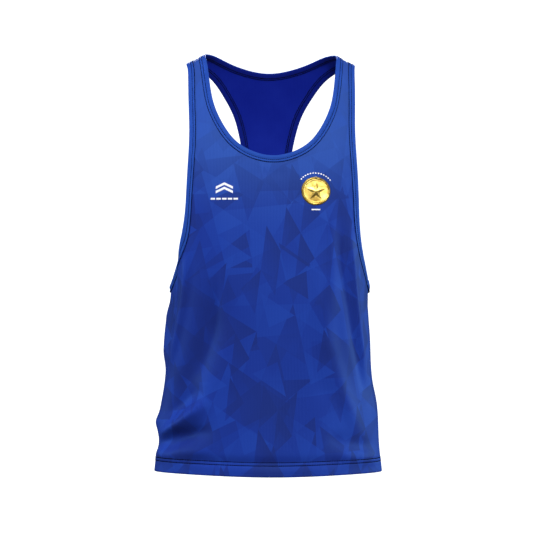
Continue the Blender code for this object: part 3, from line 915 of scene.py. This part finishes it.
# %% The front and the back
def add_panel(name, front):
    """One panel: printed outside, with the cloth's wrong side inside."""
    outline = panel_outline(front)
    levels = row_levels() * (1 if front else -1)
    places, faces = net(outline, levels, COLUMN_STEP, PANEL_MARGIN)
    outer, inner = skins(places)
    return add_shell(name, places, faces, outer, inner, (PRINTED, WRONG_SIDE_IN_PAINTED_SHADE))


front_cloth = add_panel("front_cloth", True)
back_cloth = add_panel("back_cloth", False)
for cloth_piece, node in ((front_cloth, "front_panel"), (back_cloth, "back_panel")):
    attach(cloth_piece, "root")
    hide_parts(node)
    print(cloth_piece.name, "has", len(cloth_piece.data.polygons), "faces")

# %% [markdown]
# ## The bindings
# A binding is a strip folded in half over the cloth's raw edge and sewn down through all its
# layers, so it is a U in section with the cloth between its legs. A bevelled curve would give a
# tube. Sweeping the U along the edge keeps the flat look of a real strip, its soft fold outside
# and its two thin lips on the panel. At the underarm the strip's two ends are joined, and there
# it stands out a little.

# %% The U of a binding, in millimetres
# into: from the outside of the fold towards the cloth. lift: above the cloth's surface.
BINDING_SECTION = (
    (11.3, 0.36), (11.25, 0.85), (10.6, 1.2), (9.6, 1.15), (8.7, 0.8), (7.7, 0.5), (6.6, 0.85),
    (5.0, 1.45), (3.2, 1.65), (1.6, 1.3), (0.5, 0.6), (0.0, -0.6), (0.4, -1.3), (1.5, -1.75),
    (4.0, -1.98), (7.8, -2.0), (8.8, -1.8), (10.6, -1.95), (11.3, -1.75), (11.3, -1.38),
    (9.6, -1.36), (4.0, -1.4), (1.6, -1.2), (0.8, -0.6), (1.5, 0.25), (4.0, 0.62), (8.0, 0.5),
    (9.6, 0.3),
)
BINDING_INSIDE = range(12, 28)       # the section's rows on the inside of the vest
SIDE_STARTS = 200 * MM               # the flare is only farther out than this
print("rows of the binding's section:", len(BINDING_SECTION))


# %% The three bindings
def swept(name, path, steps, section, lift, looks, closed, inside=()):
    """A section carried along a line on the cloth. path and steps are in cloth lengths."""
    rows = np.array(section) * MM
    rings = [worn(path + steps * into, height + lift) for into, height in rows]
    points = np.stack(rings, axis=1)
    stations, corners = points.shape[:2]
    uvs = np.stack(np.meshgrid(distance_along(rows), distance_along(path)), axis=-1)
    faces = []
    look_of_face = []
    for i in range(stations if closed else stations - 1):
        j = (i + 1) % stations
        for a in range(corners):
            b = (a + 1) % corners
            faces.append((i * corners + a, j * corners + a, j * corners + b, i * corners + b))
            look_of_face.append(1 if a in inside else 0)
    if not closed:
        faces.append(tuple(range(corners)))
        faces.append(tuple((stations - 1) * corners + i for i in range(corners))[::-1])
        look_of_face += [0, 0]
    piece = new_object(name, points.reshape(-1, 3), faces, uvs.reshape(-1, 2), looks, look_of_face)
    solid = bmesh.new()
    solid.from_mesh(piece.data)
    bmesh.ops.recalc_face_normals(solid, faces=solid.faces)
    solid.to_mesh(piece.data)
    solid.free()
    return piece


def binding_lift(path):
    """Small puckers along the strip, and the flare at the join."""
    to_join = (np.abs(path[:, 1]) - UNDERARM) / FLARE_REACH
    on_side = np.abs(path[:, 0]) > SIDE_STARTS
    flare = np.where(path[:, 0] > 0, UNDERARM_FLARE, UNDERARM_FLARE * RIGHT_FLARE)
    stands_out = SOFT_FLARE * flare * np.exp(-to_join**2) * on_side
    return STRIP_RIPPLE * ripple(distance_along(path)) + stands_out


neck_ring, neck_in = with_mirror(half_neck), with_mirror(half_neck_in)
arm_ring, arm_in = armhole[:-1], armhole_in[:-1]     # its last place is its first one, on the back
edges = {
    "neck": (neck_ring, neck_in, "neck_binding", neck_round),
    "armhole_left": (arm_ring, arm_in, "armhole_binding_left", armhole_round),
    "armhole_right": (arm_ring * MIRROR, arm_in * MIRROR, "armhole_binding_right", armhole_round),
}
looks = (STRIP, STRIP_IN_PAINTED_SHADE)
for name, (path, steps, node, _) in edges.items():
    lift = binding_lift(path)
    strip = swept(name + "_strip", path, steps, BINDING_SECTION, lift, looks, True, BINDING_INSIDE)
    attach(strip, "root")
    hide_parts(node)
    print(strip.name, "has", len(strip.data.polygons), "faces")

# %% [markdown]
# ## Stitches
# The hem is held by two rows of stitches in dark thread that sinks into the knit, and so is each
# binding, where they show inside as well. Of a binding's rows, the ones along its edge, outside
# and inside, are painted shadow: dark lines that stand for the shade under the strip's edge. A
# curve with a dashed look would lie on top like a wire. So every stitch is its own short fat
# thread with both ends diving into the cloth, thousands of copies of one small form placed in a
# single step, one mesh for each row. Real thread is 0.3 mm thick. It is drawn thicker, so that a
# row reads as the dark line that it makes in the cloth, and nearly black, which paints in the
# shade of its groove.

# %% Thread
TWIST_SCALE = 220.0          # a strand each 2.9 mm, coarsened from 0.3 mm so that it shows


def polyester_thread(name, colour):
    """Spun and twisted thread: dull, with a slanting grain from its strands."""
    look, tree, shader = new_finish(name, Roughness=0.8, IOR=1.54, Specular_IOR_Level=0.05)
    place = add(tree, "TexCoord").outputs["Object"]
    inputs = {"Vector": place, "Scale": TWIST_SCALE, "Distortion": 1.0}
    twist = add(tree, "TexWave", inputs, bands_direction="DIAGONAL").outputs[1]
    deep = linear(colour)
    pale = tuple(min(1.0, 1.5 * part) for part in deep[:3]) + (1.0,)
    tint(tree, shader, twist, deep, pale)
    bump = add(tree, "Bump", {"Height": twist, "Strength": 0.4, "Distance": 0.1 * MM})
    tree.links.new(bump.outputs[0], shader.inputs["Normal"])
    return look


# painted shade: the navy thread is coloured nearly black, so that each row also carries the shade of
# its groove
NAVY_THREAD_IN_PAINTED_SHADE = polyester_thread("polyester_thread_navy_in_painted_shade", "#04061E")
BLUE_THREAD = polyester_thread("polyester_thread_blue", "#1C2F96")
print("threads:", NAVY_THREAD_IN_PAINTED_SHADE.name, "and", BLUE_THREAD.name)

# %% One stitch, many times
STITCH_SIDES = 6
# share of the length, then width and rise in thread radii
STITCH_PROFILE = (
    (0.0, 0.45, -0.5),
    (0.12, 0.9, -0.1),
    (0.5, 1.0, 0.15),
    (0.88, 0.9, -0.1),
    (1.0, 0.45, -0.5),
)


def one_stitch():
    """The faces of one stitch: a tube through the rings of its profile, with two ends."""
    faces = []
    for ring in range(len(STITCH_PROFILE) - 1):
        a, b = ring * STITCH_SIDES, (ring + 1) * STITCH_SIDES
        for i in range(STITCH_SIDES):
            j = (i + 1) % STITCH_SIDES
            faces.append((a + i, b + i, b + j, a + j))
    first = range(STITCH_SIDES)
    last = range((len(STITCH_PROFILE) - 1) * STITCH_SIDES, len(STITCH_PROFILE) * STITCH_SIDES)
    return faces + [tuple(first), tuple(last)[::-1]]


def add_stitches(name, starts, ends, lift, radius, look):
    """One mesh of stitches, from the cloth places in starts to those in ends."""
    places = (starts + ends) / 2
    start, middle, end = worn(starts, lift), worn(places, lift), worn(ends, lift)
    outward = outward_at(*places.T)
    along = end - start
    side = np.cross(along, outward)
    side /= np.linalg.norm(side, axis=1)[:, None]
    turns = 2 * np.pi * np.arange(STITCH_SIDES) / STITCH_SIDES
    rings = []
    for share, width, rise in STITCH_PROFILE:
        bend = (middle - (start + end) / 2) * 4 * share * (1 - share)
        centre = start + along * share + bend + outward * rise * radius
        for turn in turns:
            across = side * np.cos(turn) + outward * np.sin(turn)
            rings.append(centre + across * width * radius)
    points = np.stack(rings, axis=1)
    count, each = points.shape[:2]
    one = one_stitch()
    faces = [tuple(i + each * number for i in face) for number in range(count) for face in one]
    uvs = np.repeat(places, each, axis=0)
    piece = new_object(name, points.reshape(-1, 3), faces, uvs, (look,), sharp=80)
    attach(piece, "root")
    return piece


def even_places(line, pitch, shifts, closed=False):
    """For each shift, in pitches, a set of places that far on at an even pitch along a line."""
    if closed:
        line = np.vstack([line, line[:1]])
    length = distance_along(worn(line))
    count = round(length[-1] / pitch)
    sets = []
    for shift in shifts:
        where = (np.arange(count) + shift) * length[-1] / count
        sets.append(np.stack([np.interp(where, length, column) for column in line.T], axis=1))
    return sets


print("faces of one stitch:", len(one_stitch()))

# %% The rows round the hem and the bindings
STITCH_PITCH = 3.2 * MM
STITCH_LENGTH = 2.9 * MM
STITCH_SHIFTS = (0.1, 0.1 + STITCH_LENGTH / STITCH_PITCH)    # its start and end, in pitches
HEM_THREAD_RADIUS = 0.9 * MM         # both coarsened from 0.15 mm, so that they show
EDGE_THREAD_RADIUS = 0.65 * MM
HEM_THREAD_LIFT = 0.1 * MM
HEM_LINE_PLACES = 240
EDGE_ROW_COLUMNS = ("word", "into", "lift")      # in millimetres, as in the binding's section
EDGE_ROWS = (
    ("outer", 7.7, 0.42),
    # painted shadow: the two edge rows are dark stitches that stand for the shade under the binding's
    # edge, outside and inside
    ("outer_edge", 11.9, 0.2),
    ("inner", 8.8, -1.95),
    ("inner_edge", 11.9, -1.3),
)


def hem_line(up, front):
    """A line right across one panel, at a height above the hem's edge."""
    run = (LENGTH - up) * (1 if front else -1)
    reach = quarter_girth(run) - SEAM_CLEAR
    out = np.linspace(-reach, reach, HEM_LINE_PLACES)
    return np.stack([out, np.full(len(out), run)], axis=1)


stitches = {"front": [], "back": [], "neck": [], "armhole_left": [], "armhole_right": []}
for side, front in (("front", True), ("back", False)):
    for number, up in enumerate(HEM_ROWS):
        starts, ends = even_places(hem_line(up, front), STITCH_PITCH, STITCH_SHIFTS)
        row_name = f"{side}_hem_stitches_{number + 1}"
        lift = sewing_relief(starts) + HEM_THREAD_LIFT
        made = add_stitches(row_name, starts, ends, lift, HEM_THREAD_RADIUS, NAVY_THREAD_IN_PAINTED_SHADE)
        stitches[side].append(made)
for name, (path, steps, _, _) in edges.items():
    for row in EDGE_ROWS:
        edge_row = dict(zip(EDGE_ROW_COLUMNS, row))
        line = path + steps * edge_row["into"] * MM
        starts, ends = even_places(line, STITCH_PITCH, STITCH_SHIFTS, closed=True)
        row_name = f"{name}_stitches_{edge_row['word']}"
        lift = edge_row["lift"] * MM
        made = add_stitches(row_name, starts, ends, lift, EDGE_THREAD_RADIUS, NAVY_THREAD_IN_PAINTED_SHADE)
        stitches[name].append(made)
print("rows of stitches:", sum(len(rows) for rows in stitches.values()))

# %% [markdown]
# ## Seams inside
# The side and shoulder seams are overlocked: the two edges are trimmed and wrapped in thread,
# and lie flat against the back. They show through the armholes and the hem. A plain line would
# do at a distance, but a narrow folded edge with slanting thread over it is what a hand finds.

# %% Seam edges with their wrapped thread
# into: from the seam onto the back. lift: above the cloth's surface. Both in millimetres.
ALLOWANCE_SECTION = (
    (0.2, -1.02), (0.2, -2.1), (1.0, -2.5), (4.0, -2.6), (5.6, -2.45), (6.0, -1.9), (5.9, -1.1),
    (3.0, -1.0),
)
SIDE_STEP = 4 * MM                   # between two places on a side seam
SHOULDER_STEP = 2 * MM
OVERLOCK_PITCH = 2.4 * MM
OVERLOCK_LIFT = -2.75 * MM
OVERLOCK_NEAR = 0.4 * MM             # the thread goes to and fro between these
OVERLOCK_FAR = 5.7 * MM
OVERLOCK_RADIUS = 0.28 * MM          # coarsened from 0.1 mm, so that it shows


def seam_lines():
    """The four seams: their names, lines and steps onto the back panel."""
    found = []
    top = UNDERARM + BINDING_WIDTH + 2 * MM
    down = -np.arange(top, LENGTH - HEM_DEPTH, SIDE_STEP)
    neck_out = half_neck[np.argmin(np.abs(half_neck[:, 1]))][0] + BINDING_WIDTH
    arm_out = armhole[np.argmin(np.abs(armhole[:, 1]))][0] - BINDING_WIDTH
    across = np.arange(neck_out + SEAM_CLEAR, arm_out - SEAM_CLEAR, SHOULDER_STEP)
    for word, sign in (("left", 1), ("right", -1)):
        line = np.stack([quarter_girth(down) * sign, down], axis=1)
        found.append((f"side_seam_{word}", line, np.array([-sign, 0.0])))
        line = np.stack([across * sign, np.zeros(len(across))], axis=1)
        found.append((f"shoulder_seam_{word}", line, np.array([0.0, -1.0])))
    return found


for name, line, step in seam_lines():
    steps = np.tile(step, (len(line), 1))
    allowance = swept(name + "_allowance", line, steps, ALLOWANCE_SECTION, 0.0, (WRONG_SIDE_IN_PAINTED_SHADE,), False)
    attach(allowance, "root")
    this, half_on, after = even_places(line, OVERLOCK_PITCH, (0.0, 0.5, 1.0))
    far = half_on + step * OVERLOCK_FAR
    starts = np.vstack([this + step * OVERLOCK_NEAR, far])
    ends = np.vstack([far, after + step * OVERLOCK_NEAR])
    add_stitches(name + "_overlock", starts, ends, OVERLOCK_LIFT, OVERLOCK_RADIUS, BLUE_THREAD)
print("seams:", len(seam_lines()))

# %% [markdown]
# ## Marks on the chest
# A sports vest carries small marks: here a plain gold roundel with a star on the wearer's left,
# under an arc of lozenges, and a pair of plain white chevrons over a dashed line on the right.
# All of them are made up for this model. They are pressed on with heat, so each is a thin film
# that follows the cloth. A texture would blur at this size, so each is cut as an outline in cloth
# lengths and filled with the same net as the panels.

# %% Foil and film
FOIL_CLOUDS = 60.0                   # dull patches of the foil to the metre
FOIL_GRAINS = 900.0                  # grains of the knit that shows through, to the metre
FILM_GRAIN = 2.5 * MM
PRESS_DEPTH = 0.1 * MM


def gold_foil():
    """Hot-pressed metal foil: a soft mirror, duller in patches where the press was light."""
    look, tree, shader = new_finish("heat_transfer_gold_foil", Metallic=0.85, Roughness=0.34)
    cloth = add(tree, "UVMap", uv_map="cloth").outputs[0]
    inputs = {"Vector": cloth, "Scale": FOIL_CLOUDS, "Detail": 2.0, "Roughness": 0.5}
    cloud = add(tree, "TexNoise", inputs).outputs[0]
    tint(tree, shader, cloud, linear("#8A6C2A"), linear("#C2AA58"), 0.36, 0.64)
    inputs = {"Vector": cloth, "Scale": FOIL_GRAINS, "Detail": 1.0}
    grain = add(tree, "TexNoise", inputs).outputs[0]
    bump = add(tree, "Bump", {"Height": grain, "Strength": 0.15, "Distance": PRESS_DEPTH})
    tree.links.new(bump.outputs[0], shader.inputs["Normal"])
    return look


def white_film():
    """Heat-transfer film: smooth, half matt, and almost one flat white."""
    look, tree, shader = new_finish("heat_transfer_white_film", Roughness=0.42, IOR=1.5)
    cloth = add(tree, "UVMap", uv_map="cloth").outputs[0]
    inputs = {"Vector": cloth, "Scale": 1 / FILM_GRAIN, "Detail": 2.0}
    grain = add(tree, "TexNoise", inputs).outputs[0]
    tint(tree, shader, grain, linear("#DADDE6"), linear("#F6F7FA"))
    bump = add(tree, "Bump", {"Height": grain, "Strength": 0.1, "Distance": PRESS_DEPTH})
    tree.links.new(bump.outputs[0], shader.inputs["Normal"])
    return look


GOLD = gold_foil()
WHITE = white_film()
print("films:", GOLD.name, "and", WHITE.name)

# %% Pressing a film on the front
FILM = 0.3 * MM
FILM_LIFT = 0.12 * MM                # gap under a film
FILM_SINK = 0.05 * MM                # its back lies this much lower than that
FILM_MARGIN = 0.35                   # share of a step kept clear of the outline


def add_film(name, outlines, look, relief=None, step=1.5 * MM):
    """One mesh of thin films pressed on the front, from closed outlines of places."""
    pieces = []
    for outline in outlines:
        outline = np.asarray(outline, float)
        levels = np.arange(outline[:, 1].min() + 0.5 * step, outline[:, 1].max(), step)
        places, faces = net(outline, levels, step, FILM_MARGIN * step)
        rise = FILM_LIFT + FILM + sewing_relief(places)
        if relief is not None:
            rise = rise + relief(places)
        pieces.append(add_shell(name, places, faces, rise, FILM_LIFT - FILM_SINK, (look,)))
    joined = bmesh.new()
    for piece in pieces:
        joined.from_mesh(piece.data)
    for piece in pieces[1:]:
        bpy.data.objects.remove(piece)
    joined.to_mesh(pieces[0].data)
    joined.free()
    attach(pieces[0], "root")
    return pieces[0]


print("a film is", round(FILM / MM, 2), "mm thick")

# %% The roundel and its star
ROUNDEL_AT = (70 * MM, 296 * MM)     # (out, run) on the front
ROUNDEL_RADIUS = 24 * MM
ROUNDEL_STEP = 0.8 * MM              # between the rows of points in it
RIM = (22 * MM, 1.1 * MM, 0.9 * MM)          # radius, width and rise
BEADS = (19 * MM, 0.8 * MM, 0.45 * MM)
BEAD_COUNT = 40
STAR_TIP = 17 * MM
STAR_WAIST = 7 * MM
STAR_RISE = 1.2 * MM
STAR_POINTS = 5


def polar(centre, radius, angle):
    """Places at a radius and an angle from the upright, clockwise in the picture."""
    direction = np.stack([np.sin(angle), -np.cos(angle)], axis=-1)
    return np.array(centre) + direction * radius


def ring(away, radius, width, rise):
    """A rounded ring, as the rise at a distance away from its centre."""
    return rise * np.exp(-((away - radius) / width)**2)


def roundel_relief(places):
    """A rolled rim, a ring of beads and a star with a ridge down each arm."""
    away = places - np.array(ROUNDEL_AT)
    radius = np.hypot(*away.T)
    angle = np.arctan2(away[:, 0], -away[:, 1])
    rim = ring(radius, *RIM)
    beads = ring(radius, *BEADS) * (0.5 + 0.5 * np.cos(BEAD_COUNT * angle))
    sector = 2 * np.pi / STAR_POINTS
    turn = np.abs((angle + sector / 2) % sector - sector / 2)
    tip = np.array([STAR_TIP, 0.0])
    waist = STAR_WAIST * np.array([np.cos(sector / 2), np.sin(sector / 2)])
    slant = waist - tip
    edge = (tip[0] * waist[1]) / (np.cos(turn) * slant[1] - np.sin(turn) * slant[0])
    star = STAR_RISE * np.clip(1 - radius / edge, 0, 1)
    return rim + beads + star


circle = [polar(ROUNDEL_AT, ROUNDEL_RADIUS, a) for a in np.linspace(0, 2 * np.pi, 97)[:-1]]
roundel = add_film("chest_roundel", [circle], GOLD, roundel_relief, ROUNDEL_STEP)
print(roundel.name, "has", len(roundel.data.polygons), "faces")

# %% The arc of lozenges over it, and the bar below
ARC_RADIUS = 31 * MM
ARC_ANGLES = np.radians(np.linspace(-50, 50, 13))
LOZENGE_SIZE = (1.7 * MM, 1.3 * MM)          # half its width and half its height
LOZENGE_STEP = 1.0 * MM
BAR_SIZE = (14 * MM, 2.0 * MM)
BAR_STEP = 1.2 * MM


def edged(corners, step):
    """A closed outline through the corners, with places along each side."""
    after = np.roll(corners, -1, axis=0)
    return np.vstack([between(a, b, step)[:-1] for a, b in zip(corners, after)])


def lozenge(centre, turn):
    """A small diamond, turned about its centre."""
    half_wide, half_tall = LOZENGE_SIZE
    corners = np.array([(0, -half_tall), (half_wide, 0), (0, half_tall), (-half_wide, 0)])
    across = np.array([[math.cos(turn), math.sin(turn)], [-math.sin(turn), math.cos(turn)]])
    return edged(corners @ across + np.array(centre), LOZENGE_STEP)


def bar(centre, size):
    """A plain upright rectangle."""
    corners = np.array([(-0.5, -0.5), (0.5, -0.5), (0.5, 0.5), (-0.5, 0.5)])
    return edged(corners * np.array(size) + np.array(centre), BAR_STEP)


arc = [lozenge(polar(ROUNDEL_AT, ARC_RADIUS, a), a) for a in ARC_ANGLES]
arc.append(bar((ROUNDEL_AT[0], ROUNDEL_AT[1] + ARC_RADIUS), BAR_SIZE))
lozenges = add_film("roundel_lozenges", arc, WHITE, step=LOZENGE_STEP)
print(lozenges.name, "has", len(lozenges.data.polygons), "faces")

# %% The chevrons and the dashes under them
CHEVRON_OUT = -80 * MM
CHEVRON_RUNS = (282 * MM, 289.5 * MM)        # the tip of each
CHEVRON_HALF = 14 * MM
CHEVRON_RISE = 7 * MM
CHEVRON_THICK = 4.2 * MM
DASH_RUN = 310 * MM
DASH_SIZE = (7.2 * MM, 3.0 * MM)
DASH_STEP = 9.4 * MM


def chevron(out, run):
    """A roof-shaped stripe, open at the bottom."""
    upper = np.array([(-CHEVRON_HALF, CHEVRON_RISE), (0, 0), (CHEVRON_HALF, CHEVRON_RISE)])
    lower = upper[::-1] + np.array([0, CHEVRON_THICK])
    return edged(np.vstack([upper, lower]) + np.array([out, run]), BAR_STEP)


marks = [chevron(CHEVRON_OUT, run) for run in CHEVRON_RUNS]
marks += [bar((CHEVRON_OUT + i * DASH_STEP, DASH_RUN), DASH_SIZE) for i in range(-2, 3)]
chevrons = add_film("chest_chevrons", marks, WHITE, step=BAR_STEP)
print(chevrons.name, "has", len(chevrons.data.polygons), "faces")

# %% [markdown]
# ## The sheets
# A cutter lays the pattern pieces flat. The two panels are each cut from a piece a little larger
# than themselves, and each binding from a strip as long as its edge. Only their number is
# printed here.

# %% The number of sheets
print("sheets:", 2 + len(edges))

# %% [markdown]
# ## The studio
# The vest hangs in a white cove with no corners. A photographer uses one so that no horizon
# shows. A white world would do for one view, but a real wall can be seen from every side, so the
# cove is a shallow dish all round, with a pale, plain floor.

# %% The cove
COVE_FLOOR = -1.30
COVE_RADIUS = 5.2
COVE_BEND = 1.6
COVE_TOP = 3.6
COVE_GLOW = 0.75                     # it gives its own light, so that it stays white behind the vest
PAINT_CLOUDS = 3.0                    # patches of the roller's to the metre


def matt_white_paint():
    """Rolled emulsion: no shine, and white with hardly a cloud."""
    look, tree, shader = new_finish(
        "matt_white_paint", Roughness=0.9, Specular_IOR_Level=0.1,
        Emission_Color=linear("#FFFFFF"), Emission_Strength=COVE_GLOW)
    place = add(tree, "TexCoord").outputs["Object"]
    inputs = {"Vector": place, "Scale": PAINT_CLOUDS, "Detail": 2.0}
    cloud = add(tree, "TexNoise", inputs).outputs[0]
    tint(tree, shader, cloud, linear("#F2F2F3"), linear("#FAFAFA"))
    return look


def add_cove():
    """A dish: a flat floor, a quarter bend and an upright wall, turned round the middle."""
    profile = [(1 * MM, COVE_FLOOR), (COVE_RADIUS - COVE_BEND, COVE_FLOOR)]
    for angle in np.radians(np.arange(10, 91, 10)):
        x = COVE_RADIUS - COVE_BEND + COVE_BEND * math.sin(angle)
        profile.append((x, COVE_FLOOR + COVE_BEND * (1 - math.cos(angle))))
    profile.append((COVE_RADIUS, COVE_TOP))
    turns = np.radians(np.arange(0, 360, 5))
    points = [(r * math.cos(t), r * math.sin(t), z) for t in turns for r, z in profile]
    rows = len(profile)
    faces = []
    for i in range(len(turns)):
        j = (i + 1) % len(turns)
        for k in range(rows - 1):
            faces.append((i * rows + k, i * rows + k + 1, j * rows + k + 1, j * rows + k))
    uvs = np.array(points)[:, :2]
    return new_object("studio_cove", points, faces, uvs, (matt_white_paint(),), sharp=30)


cove = add_cove()
cove.visible_diffuse = False         # it fills the view, and leaves the lighting to the lights
cove.visible_glossy = False
print("cove:", 2 * COVE_RADIUS, "m across")

# %% [markdown]
# ## The lights
# Blue cloth is shaped by light that skims it. One bright lamp in front would flatten every fold.
# So the main softbox stands a little above the vest, a rim light low at each side draws a bright
# edge on the folds, a fill lifts the shade on the left, and one softbox serves the back. They are
# area lamps, because a big soft source gives the folds soft edges.

# %% Lights and the world
# around: degrees round the vest from the front, left minus. up: degrees above the aim. size: in
# metres. shines: whether the cloth mirrors it.
LIGHT_COLUMNS = ("name", "around", "up", "size", "watts", "colour", "shines")
LIGHTS = (
    ("front_softbox", 8, 32, 0.9, 98, "#FFFFFF", True),
    ("right_rim_strip", 100, 4, 0.9, 72, "#BEF3FF", True),
    ("left_rim_strip", -96, 5, 0.9, 40, "#BEF3FF", True),
    ("left_fill", -88, 38, 1.2, 42, "#FFFFFF", False),
    ("back_softbox", 180, 25, 1.2, 80, "#FFFFFF", True),
)
LIGHT_AIM = Vector((0, 0, -0.35))
LIGHT_DISTANCE = 3.4
WORLD_LEVEL = 0.32
for row in LIGHTS:
    light = dict(zip(LIGHT_COLUMNS, row))
    lamp = bpy.data.lights.new(light["name"], "AREA")
    lamp.energy = light["watts"]
    lamp.size = light["size"]
    lamp.color = linear(light["colour"])[:3]
    holder = bpy.data.objects.new(light["name"], lamp)
    around, up = math.radians(light["around"]), math.radians(light["up"])
    level = math.cos(up)
    toward = Vector((math.sin(around) * level, -math.cos(around) * level, math.sin(up)))
    holder.location = LIGHT_AIM + toward * LIGHT_DISTANCE
    holder.rotation_mode = "QUATERNION"
    holder.rotation_quaternion = (-toward).to_track_quat("-Z", "Y")
    holder.visible_glossy = light["shines"]
    bpy.context.scene.collection.objects.link(holder)

world = bpy.data.worlds.new("studio_world")
bpy.context.scene.world = world
world.use_nodes = True
background = world.node_tree.nodes["Background"]
background.inputs["Color"].default_value = linear("#FFFFFF")
background.inputs["Strength"].default_value = WORLD_LEVEL
world.cycles_visibility.glossy = False       # the shine comes from the lights alone
bpy.context.scene.view_settings.view_transform = "Standard"
print("lights:", [row[0] for row in LIGHTS])

# %% [markdown]
# ## The camera
# The photograph is taken almost square on, from chest height and far back, with a long lens. A
# camera could be set by eye, but then the picture's scale would be a guess. Here it is placed by
# working back from the vest's size in the picture.

# %% Camera
PICTURE = 535                        # pixels, both ways
PIXELS_PER_METRE = 593
DISTANCE = 3.7                       # metres from the vest's middle
VIEW_HEIGHT = -0.356
YAW = math.radians(2.8)              # the camera stands this far round to the left
ROLL = 0.0053                        # radians
OFFSET = -0.0032                     # metres sideways, so that the vest's middle is where it should be
SENSOR = 36.0                        # mm

ahead = Vector((math.sin(YAW), math.cos(YAW), 0))
across = Vector((math.cos(YAW), -math.sin(YAW), 0))
lens = SENSOR * PIXELS_PER_METRE * DISTANCE / PICTURE
camera_data = bpy.data.cameras.new("studio_camera")
camera_data.lens = lens
camera_data.sensor_width = SENSOR
camera_data.clip_start = 0.1
camera_data.clip_end = 50
camera = bpy.data.objects.new("studio_camera", camera_data)
camera.location = across * OFFSET - ahead * DISTANCE + Vector((0, 0, VIEW_HEIGHT))
camera.rotation_mode = "QUATERNION"
camera.rotation_quaternion = ahead.to_track_quat("-Z", "Y") @ Quaternion((0, 0, 1), ROLL)
bpy.context.scene.collection.objects.link(camera)
bpy.context.scene.camera = camera
print("lens:", round(lens, 1), "mm")
